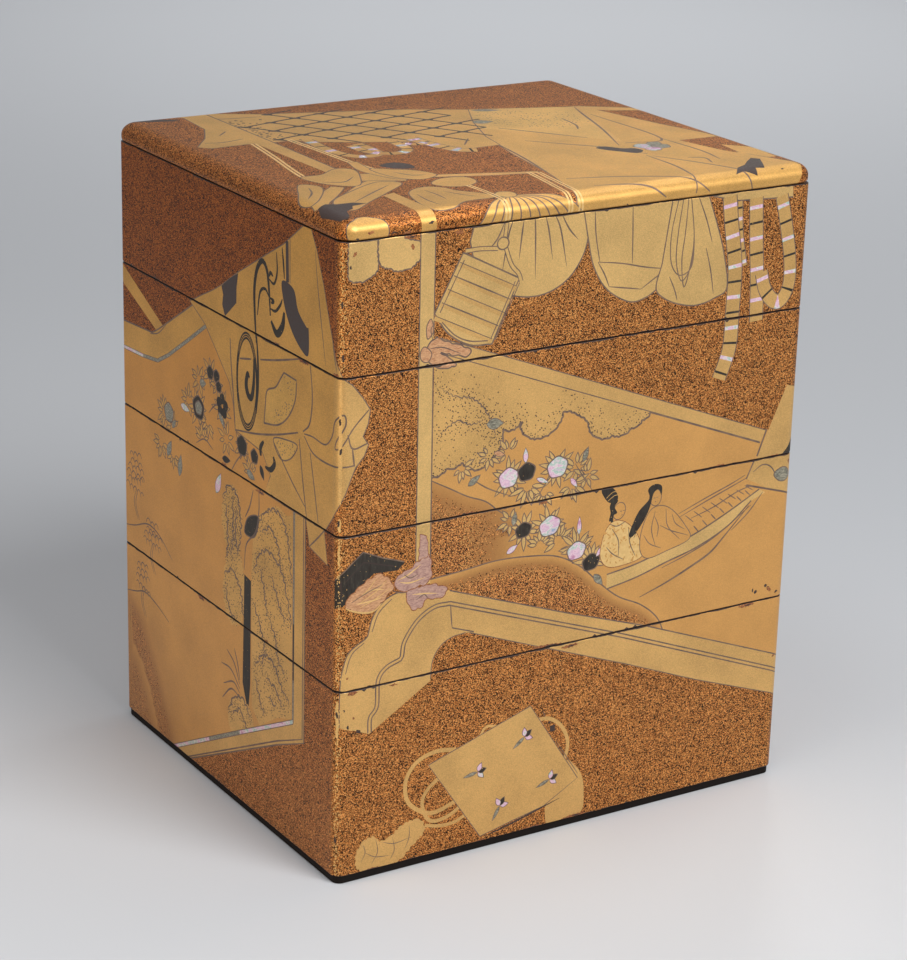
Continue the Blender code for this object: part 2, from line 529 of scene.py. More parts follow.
def darkLook():
    # Tarnished silver foil: nearly black, with rubbed scratches and a few flakes of gold.
    look = Lacquer("dark_foil", Metallic=0.35, Specular_IOR_Level=0.25)
    scratches = look.noise(1.4, 4.0, 0.7, (1, 1, 0.25))
    flakes = look.part(look.grains(0.3), "Red") > 0.996
    colour = look.ramp(scratches, [(0.3, tone(46, 39, 35)), (0.6, goldTones["dark"]),
        (0.8, tone(104, 88, 74))])
    look.show(Base_Color=look.mix(flakes, colour, goldTones["gold"]), Roughness=0.35 + scratches * 0.3)
    return look.material


def shellLook():
    # Pearl shell: pale pink, green, blue and white run into one another, with fine growth lines.
    look = Lacquer("pearl_shell", Coat_Weight=0.5, Coat_Roughness=0.08)
    patch = look.noise(4.6, 2.0, 0.55, (1, 1, 1.6))
    growth = look.noise(0.7, 2.0, 0.5, (1, 1, 5))
    stops = [(0.3, tone(186, 132, 160)), (0.4, tone(226, 192, 204)), (0.47, tone(204, 164, 188)),
             (0.54, tone(222, 210, 206)), (0.6, tone(150, 184, 168)), (0.68, tone(216, 194, 198)),
             (0.76, tone(140, 158, 184))]
    colour = look.ramp(patch + (growth - 0.5) * 0.16, stops)
    look.show(Base_Color=colour, Metallic=0.15, Roughness=0.16 + growth * 0.12,
              Normal=look.bump(growth, 0.00004, 0.4))
    return look.material


def silverLook():
    # Tarnished silver and darker shell: grey-green with paler flecks.
    look = Lacquer("tarnished_silver", Metallic=0.3, Coat_Weight=0.3, Coat_Roughness=0.15)
    streak = look.noise(1.2, 4.0, 0.7, (1, 1, 2))
    stops = [(0.36, tone(88, 84, 72)), (0.5, tone(132, 128, 110)), (0.62, tone(160, 154, 134)),
        (0.72, tone(198, 188, 170))]
    look.show(Base_Color=look.ramp(streak, stops), Roughness=0.3 + streak * 0.2)
    return look.material


def clothLook(name, low, middle, high):
    # Streaky metal leaf on the bows.
    look = Lacquer(name, Metallic=0.3, Coat_Weight=0.2, Coat_Roughness=0.2)
    streak = look.noise(1.2, 4.0, 0.7, (1, 1, 3))
    look.show(Base_Color=look.ramp(streak, [(0.35, low), (0.5, middle), (0.7, high)]),
        Roughness=0.32 + streak * 0.2)
    return look.material


def insideLook():
    # Plainer inside: brown-black lacquer, thinly sprinkled.
    look = Lacquer("inner_lacquer", Coat_Weight=0.5, Coat_Roughness=0.12)
    random = look.part(look.grains(0.5), "Red")
    cloud = look.noise(30.0, 3.0)
    base = look.mix(cloud, tone(34, 20, 15), tone(52, 30, 20))
    look.show(Base_Color=look.mix(random > 0.93, base, sprinkle["orange"]), Roughness=0.28 + cloud * 0.12,
              Normal=look.bump(cloud, 0.0001, 0.2))
    return look.material


def rubbedLook():
    # Gold rubbed through to the red-brown undercoat.
    look = Lacquer("rubbed_undercoat", Metallic=0.2, Specular_IOR_Level=0.25)
    grit = look.noise(0.9, 4.0, 0.7)
    look.show(Base_Color=look.ramp(grit, [(0.4, tone(112, 60, 40)), (0.6, goldTones["rubbed"])]),
        Roughness=0.4 + grit * 0.2)
    return look.material


def footLook():
    look = Lacquer("black_foot", Specular_IOR_Level=0.15)
    grit = look.noise(1.4, 3.0)
    look.show(Base_Color=look.mix(grit, tone(14, 11, 10), tone(30, 22, 18)), Roughness=0.55 + grit * 0.2)
    return look.material


def brownBlackLook():
    look = Lacquer("brown_black_lacquer", Coat_Weight=0.3)
    grit = look.noise(1.0, 3.0)
    look.show(Base_Color=look.mix(grit, tone(24, 15, 11), tone(66, 40, 26)), Roughness=0.35 + grit * 0.3)
    return look.material


def fineLook():
    # Thin raised line in a lighter gold.
    look = Lacquer("fine_gold_line", Metallic=0.45)
    grain = look.noise(1.2, 2.0)
    look.show(Base_Color=look.mix(grain, tone(244, 208, 140), tone(208, 164, 98)),
        Roughness=0.3 + grain * 0.2)
    return look.material


# The kinds of field in the picture are places in the list of lacquers.
ground, gold, deep, pale, ink, dark, shell, coral, brownBlack, rubbed, inside, fine, foot, silver, lilac = range(15)
looks = [
    groundLook(), goldLook("burnished_gold", goldTones["gold"]),
    goldLook("deep_gold", goldTones["deep"], 0.08, True, 0.45),
    goldLook("pale_gold", goldTones["pale"]), lineLook(), darkLook(), shellLook(),
    clothLook("coral_leaf", tone(170, 112, 74), goldTones["coral"], tone(226, 176, 126)),
    brownBlackLook(), rubbedLook(), insideLook(), fineLook(), footLook(), silverLook(),
    clothLook("lilac_leaf", tone(146, 106, 98), goldTones["lilac"], tone(208, 172, 148)),
]
say("made %d lacquers" % len(looks))


# Motifs, each laid on a picture at a place of the chart

inkWidth = {"plain": 0.42, "thin": 0.3, "leafRim": 0.46, "weight": 1.45}
rng = np.random.default_rng(7)


def blob(*points):
    return curve(points, closed=True)


def lens(x, y, length, width, angle, steps=7):
    # A leaf's outline: the half width is a sine along its length, fullest nearer the foot.
    t = np.linspace(0, 1, steps)
    half = width / 2 * np.sin(np.pi * t**0.8)
    upper = np.column_stack([t * length, half])
    lower = np.column_stack([t * length, -half])[::-1][1:-1]
    return turned(np.vstack([upper, lower]), angle) + [x, y]


def edged(picture, kind, outline, edge=ink, width=inkWidth["plain"]):
    outline = np.asarray(outline, float)
    picture.fill(kind, outline)
    picture.line(edge, np.vstack([outline, outline[:2]]), width, 0)


def strokes(picture, kind, lines, width=inkWidth["plain"], taper=0.6):
    for line in lines:
        picture.line(kind, curve(line), width, taper)


def leaf(picture, x, y, length, width, angle, body):
    # An ink rim shows round the smaller body.
    picture.fill(ink, lens(x, y, length, width, angle))
    rim = inkWidth["leafRim"]
    way = turned([[rim, 0]], angle)[0]
    picture.fill(body, lens(x + way[0], y + way[1], length - 3 * rim, width - 2 * rim, angle))


def rosette(picture, x, y, length, width, count, turn, spread, body):
    # Leaves set fanwise round one place, long and short in turn, starting a little way out from it.
    for k in range(count):
        angle = turn + spread * (k + 0.5) / count + rng.uniform(-8, 8)
        base = turned([[length * 0.22, 0]], angle)[0] + [x, y]
        size = length * (0.86 if k % 2 else 0.66) * rng.uniform(0.9, 1.1)
        leaf(picture, *base, size, min(width, 0.9 + 0.26 * size), angle + rng.uniform(-12, 12), body)


def rosettes(picture, width, body, places):
    # Each place is x, y, length, count, turn and spread.
    for x, y, length, count, turn, spread in places:
        rosette(picture, x, y, length, width, count, turn, spread, body)


def crinkled(line, period=3.4, depth=0.55, closed=False):
    # Small bumps along a line: its points move along its normals by |sin| of the distance run.
    line = np.vstack([line, line[:1]]) if closed else np.asarray(line, float)
    run = np.concatenate([[0], np.cumsum(np.linalg.norm(np.diff(line, axis=0), axis=1))])
    even = np.arange(0, run[-1], 0.55)
    x, y = np.interp(even, run, line[:, 0]), np.interp(even, run, line[:, 1])
    points = np.column_stack([x, y])
    way = np.gradient(points, axis=0)
    way /= np.maximum(np.linalg.norm(way, axis=1, keepdims=True), 1e-9)
    phase = np.pi * even / period + 0.8 * np.sin(even * 0.37) + 0.5 * np.sin(even * 0.83 + 1)
    bumps = depth * (np.abs(np.sin(phase)) - 0.5)
    return points + np.column_stack([-way[:, 1], way[:, 0]]) * bumps[:, None]


def blossom(picture, x, y, radius, kind, tall=0.9, lobes=5, turn=20.0):
    # A round flower head: an ellipse whose radius swells a little at each lobe, with an ink rim.
    a = np.linspace(0, 2 * np.pi, 36, endpoint=False)
    swell = 1 + 0.05 * np.cos(lobes * a)
    head = np.column_stack([radius * swell * np.cos(a), radius * tall * swell * np.sin(a)])
    rim = 1 + 0.62 / radius
    picture.fill(ink, turned(head * rim, turn) + [x, y])
    picture.fill(kind, turned(head, turn) + [x, y])


def blossoms(picture, places, tall=0.9):
    # Each place is x, y, radius and kind.
    for place in places:
        blossom(picture, *place, tall)


def pod(picture, x, y, length, width, angle, kind):
    picture.fill(ink, lens(x, y, length, width, angle, 9))
    picture.fill(kind, lens(*(turned([[0.3, 0]], angle)[0] + [x, y]), length - 0.8, width - 0.6, angle, 9))


def pods(picture, places):
    # Each place is x, y, length, width, angle and kind.
    for place in places:
        pod(picture, *place)


def stipple(picture, region, line, spacing, reach, size=0.32, kind=brownBlack, most=0.8):
    # Dots on a jittered grid, thickest along a line and thinning out away from it.
    region, line = np.asarray(region, float), np.asarray(line, float)
    low, high = region.min(0), region.max(0)
    x, y = np.meshgrid(np.arange(low[0], high[0], spacing), np.arange(low[1], high[1], spacing))
    places = np.column_stack([x.ravel(), y.ravel()])
    places += rng.uniform(-0.5, 0.5, places.shape) * spacing
    chance = most * np.exp(-((distanceTo(line, places) / reach) ** 1.3))
    places = places[(rng.random(len(places)) < chance) & within(region, places)]
    a = np.linspace(0, 2 * np.pi, 5, endpoint=False)
    dot = np.column_stack([np.cos(a), np.sin(a)]) * size
    for place in places:
        picture.fill(kind, place + dot * rng.uniform(0.7, 1.15))


def barred(picture, centre, width, bars):
    # A ribbon along a line, crossed by bars given as (share along it, thickness, kind).
    line = curve(centre, 8)
    one, other = ribbonOf(line, width)
    picture.fill(gold, bandOf(line, width))
    run = np.concatenate([[0], np.cumsum(np.linalg.norm(np.diff(line, axis=0), axis=1))])
    for share, thick, kind in bars:
        ends = np.array([share * run[-1] - thick / 2, share * run[-1] + thick / 2])
        corners = [[np.interp(e, run, side[:, k]) for k in (0, 1)] for side in (one, other) for e in ends]
        picture.fill(kind, np.array(corners)[[0, 1, 3, 2]])
    doubled(picture, ink, line, width, inkWidth["thin"])


def barsAlong(count, first=shell, thick=1.6, thinner=0.62):
    # Shell and dark bars in turn, evenly spaced, with the dark ones thinner.
    kinds = (first, dark if first == shell else shell)
    wide = {shell: thick, dark: thick * thinner}
    return [((k + 0.6) / count, wide[kinds[k % 2]], kinds[k % 2]) for k in range(count)]


def doubled(picture, kind, points, apart, width):
    # Two lines side by side.
    for side in ribbonOf(points, apart):
        picture.line(kind, side, width, 0)


def straight(start, end, steps=8):
    return np.linspace(start, end, steps + 1)


def drawFrontTop(p):
    # Two low clouds and an upright post at the left of the front.
    first = np.vstack([[(2, 273.5), (2, 258)], scallops([(2, 258), (7, 256), (12, 257), (16, 261)], -0.16),
        [(15.4, 267), (15.6, 273.5)]])
    second = np.vstack([[(15.6, 273.5), (15.4, 267), (16.2, 262)],
        scallops([(16.2, 262), (21, 259.6), (27, 258.2), (33, 260.5)], -0.14),
        scallops([(33, 260.5), (35.6, 266), (31, 269.8)], -0.2), [(27.5, 271), (27, 273.5)]])
    for cloud in (first, second):
        edged(p, pale, crinkled(cloud, 2.4, 0.45, closed=True))
    p.fill(pale, [(34.4, 273.5), (41, 273.5), (41.3, 217), (42.2, 150), (42.4, 126), (35.6, 126),
        (35, 152), (34.6, 217)])
    p.line(ink, straight((34.5, 273), (35.4, 127), 30), 0.34, 0)
    p.line(ink, straight((41.2, 273), (41.3, 230)), 0.34, 0)
    p.line(ink, straight((41.4, 222), (42.3, 128), 20), 0.42, 0)

    # Gathered cloth bags on cords, each with its own folds, hang side by side.
    edged(p, pale, np.vstack([[(59, 273.5)], curve([(57, 266), (60, 256), (68, 246.5), (80, 241),
        (93, 240.5), (104, 245.5), (111, 255), (113.5, 266)]), [(113.5, 273.5)]]))
    for x, z in ((66, 262), (72, 250), (80, 256), (88, 247), (96, 254), (103, 250), (108, 261)):
        strokes(p, ink, [[(85 + (x - 85) * 0.62, 273), (85 + (x - 85) * 0.8, 266), (x, z)]], 0.5, 0.9)
    edged(p, pale, np.vstack([[(110, 273.5)], curve([(112.5, 262), (116, 249), (123, 238.5), (134, 232),
        (142, 232.5), (149, 236.5), (154, 244)]), [(158, 273.5)]]))
    strokes(p, ink, [[(118, 250.5), (130, 248.5), (142, 245.5), (153, 243.5)],
        [(124, 239.5), (132, 238), (140, 236.5)], [(140, 236.5), (147, 240.5), (153, 243.5)],
        [(134, 273), (134.6, 260), (135, 248)], [(115.5, 273), (116.5, 262), (119, 250)],
        [(118, 250.5), (121.5, 245), (124, 239.5)]])
    edged(p, pale, np.vstack([[(154, 273.5)], curve([(150, 246), (147.5, 236), (152, 231), (160, 227.5),
        (169, 226), (178, 228), (184, 232), (181, 248), (176.5, 261)]), [(171.5, 273.5)]]))
    strokes(p, ink, [[(172, 250), (175, 240), (177, 230)], [(154, 240), (157, 234), (158.5, 229.5)],
        [(166.5, 273), (171.5, 262), (175, 252)]])
    for shift in (0.0, 2.6, 5.4):
        loop = [(157 + shift * 0.9, 273), (154 + shift * 1.3, 258), (154.5 + shift, 246),
            (159 + shift * 0.5, 240 - shift), (165 - shift * 0.1, 243 + shift * 0.2),
            (165.5, 256), (163, 273)]
        strokes(p, ink, [loop], 0.36, 0.2)

    # A slatted hanging board on a ringed cord.
    board = np.vstack([[(54, 262), (80.5, 248.5), (68.5, 223)],
        curve([(68.5, 223), (58, 224), (48, 230), (41.5, 239)])])
    edged(p, pale, board, ink, 0.5)
    for k in range(5):
        start, end = np.array([(52.6, 258.5), (79.2, 245.4)]) + np.array([-2.65, -5.1]) * k
        p.fill(gold, [start, end, end - [0.9, 1.9], start - [0.9, 1.7]])
        p.line(ink, straight(start + [0, -0.2], end, 6), 0.42 if k % 2 else 0.28, 0.3)
    doubled(p, ink, straight((53.6, 259.5), (43, 239.5), 6), 2.2, 0.3)
    doubled(p, ink, straight((79.6, 247), (69, 225), 6), 2.2, 0.3)
    strokes(p, ink, [[(45, 235), (51, 229), (58, 225.6), (66.5, 224.6)]], 0.4, 0.2)
    for cord in (
            [(55, 262.5), (62, 262.6), (70, 261.8)], [(73.5, 262), (76.5, 254.5), (80, 250.5), (81.4, 247)],
            [(73.2, 266), (74, 273.4)]):
        p.fill(pale, bandOf(curve(cord), 1.7))
        doubled(p, ink, curve(cord), 1.7, 0.28)
    edged(p, pale, ellipse(72.3, 263.6, 2.7, 2.5))

    # Barred ribbons fall from a rail at the right.
    edged(p, pale, [(173, 273.5), (215.5, 273.5), (216, 266.8), (186, 268.4), (174.5, 271.5)])
    barred(p, [(188.3, 268), (189.6, 254), (192.6, 240)], 2.6, barsAlong(6, dark, 1.5))
    barred(p, [(182.8, 270.5), (184.6, 258), (187.6, 240), (187.6, 222), (187, 205),
        (182.5, 192)], 7.2, barsAlong(12))
    barred(p, [(196.6, 268.5), (198, 250), (199.6, 232), (200.4, 215)], 7.0, barsAlong(8))
    barred(p, [(210, 268), (213.6, 254), (216.4, 240), (216.6, 229), (213, 222.6), (208.6, 223),
        (204, 228.5), (201.6, 236)], 6.4, barsAlong(9))


def drawScreen(p):
    # A standing screen seen from the side: a frame along its top, and a hill, a cloud and flowers on it.
    top, under, slope = 229.6, 223.2, -0.384
    p.fill(deep, [(42, top), (209.5, top + slope * 167.5), (227, 165), (227, 57), (150, 86.5),
        (52, 121), (42, 126)])
    p.fill(gold, [(42, top), (209.5, top + slope * 167.5), (206.5, under + slope * 164.5), (42, under)])
    p.line(ink, straight((42, under), (206.8, under + slope * 164.5), 20), 0.6, 0)
    p.line(ink, straight((42, top), (209.5, top + slope * 167.5), 20), 0.3, 0)
    cloudEdge = np.vstack([scallops([(42, 171), (49, 173.5), (56, 175)], -0.12),
        scallops([(56, 175), (64, 170.6), (71, 175)], -0.1), scallops([(71, 175), (75, 186)], -0.16),
        scallops([(75, 186), (84, 188), (85.4, 182.5)], -0.2),
        scallops([(85.4, 182.5), (93, 179.6), (102, 184), (104, 189)], -0.12),
        scallops([(104, 189), (111, 186.6), (117, 181)], 0.14),
        scallops([(117, 181), (120, 176.6), (129, 175), (139, 177)], -0.16),
        scallops([(139, 177), (144, 179.6), (148, 182.8)], -0.2)])
    cloudEdge = crinkled(cloudEdge)
    region = np.vstack([cloudEdge, [(42, under)]])
    p.fill(gold, region)
    p.line(ink, cloudEdge, 0.62, 0)
    stipple(p, region, cloudEdge[::3], 1.15, 4.4)
    rise = curve([(45, 208), (52, 203.5), (60, 201.5), (66, 196), (70, 189), (72, 182)])
    rest = curve([(46, 189), (53, 193), (60, 190.5), (66, 192)])
    for line in (rise, rest):
        stipple(p, region, line, 1.15, 4.0)
        p.line(ink, crinkled(line, 2.6, 0.8), 0.4, 0.8)

    hill = curve([(41.5, 170), (50, 165.4), (59, 160.4), (68, 156.6), (75, 151), (84.5, 145.5)])
    p.line(ink, hill, 0.4, 0.2)
    p.mist(np.vstack([hill, [(80, 140), (42, 140)]]), hill, 10.0, 0.16, 0.62)
    # The near hill is smooth gold along its crest and sinks into the sprinkled ground below it.
    crest = curve([(42, 127.6), (58, 128.6), (74, 130), (90, 129), (104, 126.4), (116, 119.6), (126, 110.4),
        (136, 102.4), (148, 96.4), (157, 88.6), (161.6, 79)])
    p.mist(np.vstack([crest, [(150, 87), (110, 100), (52, 121), (42, 124)]]), crest, 9.5, 0.0, 1.0)
    p.line(ink, crest, 0.42, 0)
    between = np.vstack([[(42, 153), (96, 153), (88, 141), (82, 130.4)], crest[14::-1], [(42, 128)]])
    p.mist(between, np.array([(42.0, 120.0), (42.0, 153.0)]), 46.0, 1.25, 0.0)

    # Flowering shrubs stand along the hill.
    rosettes(p, 2.5, pale, ((56, 173, 6.0, 6, 200, 200), (69, 176, 6.5, 6, 120, 210),
        (78, 176, 7.0, 7, 20, 220), (78.5, 165, 9.0, 12, 0, 360), (88, 160, 9.0, 10, 180, 190),
        (102, 165.5, 9.5, 12, 0, 360), (112, 164, 8.0, 9, 0, 360), (117, 160, 7.0, 8, 0, 360),
        (110, 157, 8.0, 8, 200, 200), (96, 156, 7.0, 7, 190, 160)))
    strokes(p, ink, [[(60, 168), (69, 162), (80, 157)], [(92, 153), (97, 160), (101, 164)],
        [(120, 153), (115, 160), (111, 166)]])
    blossoms(p, ((78.5, 165, 4.4, shell), (87.2, 166.2, 3.9, dark), (102.3, 165.8, 4.7, shell)))
    pods(p, ((86.6, 170, 7, 2.8, 92, shell), (92, 162.6, 7, 2.4, -24, shell),
        (109, 160, 6, 2.6, -52, shell), (59, 164.6, 7.4, 3.2, 34, silver),
        (67, 189.6, 8.6, 5.0, -4, silver), (71, 177, 6, 2.6, -18, coral), (115, 166, 7, 2.8, 70, silver)))
    rosettes(p, 2.5, pale, ((80, 146, 6.5, 6, 60, 230), (87, 141, 8.5, 10, 0, 360),
        (99, 141, 8.5, 12, 0, 360), (104, 133.5, 8.0, 10, 0, 220), (113.5, 128, 9.5, 11, 0, 200),
        (121, 121, 9.0, 10, -30, 200), (95, 133, 7.0, 7, 10, 180)))
    blossoms(p, ((86.6, 141, 3.6, dark), (99.6, 140.6, 4.9, shell), (113.4, 127.2, 4.4, shell),
        (121, 120.8, 4.1, dark)), 0.82)
    pods(p, ((78.6, 132, 6.6, 3.0, 30, shell), (81.5, 143.6, 6.6, 3.0, 80, silver),
        (114.4, 134, 8.5, 2.5, 90, shell), (123.5, 122.6, 7, 2.4, 52, shell),
        (122.8, 115, 7.5, 3.6, -50, silver)))


def drawBoat(p):
    # A punt comes in from the right with two robed passengers, drawn in thin ink on gold.
    hull = curve([(129.5, 113.6), (144, 115.6), (160, 119.6), (176, 124.4), (192, 131), (208, 138.6)])
    strake = curve([(129.6, 107), (145, 109.6), (160, 113.6), (176, 117.6), (192, 124.4), (204, 134)])
    p.fill(pale, np.vstack([hull, [(211.5, 136.6)], strake[::-1]]))
    for line in (hull, strake):
        p.line(ink, line, 0.5, 0.1)
    strokes(p, ink, [[(147, 100), (160, 104), (172, 108.6), (183, 113.6), (190, 119.6),
        (203, 132)]], 0.7, 0.7)
    strokes(p, ink, [[(166, 133), (180, 138), (192, 142), (201, 145)],
        [(165.4, 134.6), (180, 139.6), (192, 143.4), (200, 146.4)],
        [(158, 111.4), (172, 115.4), (186, 121), (204, 132)],
        [(172, 131.4), (184, 134.6), (196, 139.4), (204, 141)], [(194, 122), (203, 129), (210, 137)]])
    for k in range(8):
        base = np.interp(k, [0, 7], [172, 203])
        strokes(p, ink, [[(base, 122.6 + (base - 172) * 0.46),
            (base - 2.6, 125.6 + (base - 172) * 0.44)]], 0.4, 0.3)
        strokes(p, ink, [[(base - 3, 133.2 + (base - 172) * 0.27),
            (base + 1.4, 129.6 + (base - 172) * 0.3)]], 0.3, 0.3)

    robe = blob((127, 131.6), (131, 136.8), (137, 136.2), (143, 131), (146.6, 124), (147, 118.4),
        (138, 116.4), (129.6, 117), (125.6, 122.6))
    edged(p, fine, robe, rubbed, 0.34)
    for k in range(90):
        x, y = rng.uniform(127, 146), rng.uniform(117.6, 135.6)
        if within(robe, np.array([[x, y]]))[0]:
            p.fill(deep, ellipse(x, y, rng.uniform(0.4, 1.0), 0.34, rng.uniform(0, 180), 7))
    strokes(p, ink, [[(131, 134), (134.6, 128), (135, 121)], [(139.6, 133), (140.6, 126), (143.6, 119.6)],
        [(128.6, 126), (132, 122.4), (137.6, 119)], [(130, 136), (133.6, 134.6), (138, 136)]], 0.34)
    edged(p, deep, ellipse(134.4, 141.2, 3.1, 3.8, -16), ink, 0.26)
    p.fill(dark, blob((131, 146.6), (133.6, 146), (132, 143.4), (133.4, 140.6), (131.6, 139.6),
        (131.4, 136.8), (129.4, 137.6), (130, 141), (129.4, 144)))
    p.fill(dark, blob((128.6, 146), (125, 151), (126.4, 153), (130.6, 152), (133.4, 148), (132.4, 145.4)))
    strokes(p, gold, [[(128.4, 146.6), (131.4, 148.4), (133.4, 148.6)],
        [(127.6, 148), (130.4, 150), (132.4, 150.2)]], 0.3, 0)

    gown = blob((150.4, 138.6), (156, 140), (162, 137), (168.6, 129.6), (172, 122.4), (160, 118.8),
        (150, 117.2), (146, 122), (146.6, 131))
    edged(p, deep, gown, ink, 0.26)
    strokes(p, ink, [[(153, 138), (151.6, 130), (154, 122)], [(158.6, 138), (160, 130), (166.6, 123)],
        [(147.6, 128), (151, 123.6), (157, 120.6)], [(162, 135), (164, 130.6), (169, 127)],
        [(156, 131), (162, 127.6), (171, 124)], [(152.6, 136), (155, 131), (154.6, 126)]], 0.3)
    edged(p, deep, ellipse(152.8, 144.2, 3.0, 3.9, 12), ink, 0.26)
    p.fill(dark, blob((149.6, 144), (148.8, 148.2), (152, 150.2), (155.8, 148.8), (155.8, 144.6),
        (154.4, 147.4), (151.8, 146.2), (150.4, 141), (148.4, 136.4), (145.2, 131.8), (141.8, 128.4),
        (140, 129.2), (141.4, 133.6), (144.6, 139.4)))
    strokes(p, dark, [[(147, 136.6), (144.4, 132), (142.6, 127.6)],
        [(144, 133), (142, 130), (140.4, 127.4)]], 0.4, 0.5)
    for x, y in ((135, 141), (152, 144)):
        strokes(p, ink, [[(x - 0.2, y), (x + 0.9, y - 0.1)], [(x + 1.3, y), (x + 2.2, y + 0.1)],
            [(x + 0.6, y - 1.8), (x + 1.3, y - 1.8)]], 0.22, 0.4)

    # Gold strip and the corner mount at the right end.
    p.fill(gold, [(205, 151.8), (219.4, 184), (227, 182.4), (227, 152)])
    p.line(ink, straight((205.6, 154), (210, 165.6)), 0.6, 0)
    p.fill(dark, [(218.4, 152), (222, 155.6), (227, 161), (227, 152)])
    p.fill(gold, [(200.4, 144.6), (204.6, 153), (227, 153), (227, 133.6), (212, 138.6)])
    strokes(p, ink, [[(204.6, 153), (200.6, 144.4)]], 0.5, 0)
    p.line(ink, straight((200.8, 141.6), (227, 133.6)), 0.6, 0)
    strokes(p, ink, [[(204, 147), (209, 149.6), (214, 147.6), (218, 141)]])
    blossom(p, 220.4, 143.6, 4.3, silver, 0.68, 4, -8)
    for x, y in ((208, 91.6), (215, 92.6), (216.4, 91.4), (209.6, 90.6)):
        p.fill(brownBlack, ellipse(x, y, rng.uniform(0.5, 1.1), rng.uniform(0.4, 0.8), rng.uniform(0, 90), 9))


def drawBracket(p):
    # The scalloped end of a rail and its long arm, with double lines, cross the two lower tiers.
    head = np.vstack([curve([(0.4, 70.6), (0.6, 87), (1.6, 95), (5, 103), (12.6, 107.6)]),
        curve([(13.6, 108.6), (16, 116.6), (21, 122.4), (28, 124.8), (36, 124), (43, 125)])])
    void = curve([(43.6, 84), (44.4, 91.6), (47.6, 97), (53, 100.2), (60, 101)])
    arm = np.array([(52, 121), (110, 100), (150, 86.5), (227, 57), (227, 38.2), (180, 55), (140, 71),
        (96, 87.6), (62, 100.6)])
    p.fill(gold, np.vstack([head, arm, void[::-1], [(43.6, 83), (15, 65.4), (8, 68.4)]]))
    for line, width in ((head, 0.4), (arm[:4], 0.4), (arm[4:], 0.3), (void, 0.3)):
        p.line(ink, line, width, 0)
    inset = np.vstack([curve([(15.2, 66), (15.4, 72.4), (18.4, 77), (18.8, 88), (22.4, 93), (29, 95.4)]),
        curve([(29.8, 96.6), (31, 103), (37, 111), (44.6, 115.2), (52, 115.4)]), [(139, 84), (227, 49.6)]])
    doubled(p, ink, inset, 1.6, inkWidth["plain"])
    strokes(p, ink, [[(52.4, 114.8), (52.8, 110), (53.4, 104.4)]])
    p.line(ink, straight((53.4, 104.4), (64, 100.6), 4), 0.4, 0)
    strokes(p, ink, [[(3.4, 94), (6.4, 102), (12, 106)],
        [(15.6, 110), (18.6, 117.6), (24.6, 122.6)]], 0.34, 0.3)

    # A dark plaque and two knotted bows lie where the post meets the bracket.
    p.fill(dark, [(-3.2, 134), (2, 138), (11, 145), (20, 141), (30.4, 137.4), (27, 134.4), (16, 135),
        (9, 129.6), (3, 124), (-3.2, 121.6)])
    p.line(brownBlack, straight((0.6, 134), (0.8, 124)), 0.5, 0)
    p.line(brownBlack, np.array([(2.6, 133.4), (11.4, 140.6), (25, 136.6)]), 0.5, 0)
    p.line(ink, np.array([(-3, 134), (2, 138), (11, 145), (20, 141), (30, 137.6)], float), 0.4, 0)
    wing = blob((3, 124), (8, 129.6), (14, 133), (19, 134.2), (23.6, 131), (25, 127), (21, 123),
        (17, 119.2), (11.6, 119), (4.6, 121.6))
    knot = blob((26, 127.4), (28, 132.4), (33, 134.2), (37, 136.8), (42, 138), (42.4, 127.4),
        (36, 125.6), (31, 124.8))
    tail = blob((31.4, 124.6), (36, 125.4), (43, 125.6), (50.4, 122.2), (47.6, 118.6), (41.6, 119.4),
        (38, 116.2), (33.6, 116.6))
    for part, kind in ((tail, lilac), (wing, coral), (knot, lilac)):
        edged(p, kind, crinkled(part, 8.0, 1.0, closed=True), rubbed)
    p.line(pale, wing[-22:-2], 0.8, 0.6)
    strokes(p, pale, [[(22, 131), (17, 127), (9, 123)], [(24, 127.6), (17, 124), (10, 121.6)],
        [(17, 132.6), (14, 129), (9, 125.4)]], 0.4)
    strokes(p, fine, [[(28, 129), (33, 128), (40, 129)], [(34, 122.6), (40, 122), (46, 121)],
        [(10, 126.4), (16, 128), (21, 127.4)], [(27, 130), (32, 131.6), (38, 135)],
        [(8, 123.4), (14, 123.4), (20, 124)]], 0.6, 0.8)
    strokes(p, ink, [[(25, 126), (28, 124.6), (31.6, 124)], [(30, 132), (33, 130), (36.6, 131)],
        [(36, 120), (39.6, 121.6), (41.6, 119.6)], [(6, 124.4), (12, 127), (20, 129.6)]], 0.34)
    bow = blob((38, 223.6), (42, 229), (48, 226.6), (58.4, 222.2), (57, 219.6), (50, 221), (44.6, 222.6),
        (52, 217), (46, 216), (39.6, 219.6))
    edged(p, coral, crinkled(bow, 8.0, 0.7, closed=True))
    for loop in (
            blob((37.4, 226), (35.4, 224), (36, 220.6), (39, 219.6), (40.6, 223)),
            blob((38.6, 229), (38, 234), (40, 237), (41.2, 232))):
        edged(p, coral, loop, ink, 0.3)
    edged(p, lilac, crinkled([(37, 148), (40.4, 146.6), (41.4, 138), (36.8, 137)], 5.0, 0.5,
        closed=True), rubbed, 0.3)
    strokes(p, ink, [[(40, 225), (46, 224.6), (54, 221)], [(41, 228), (40, 232.6), (41.6, 235)]], 0.34)


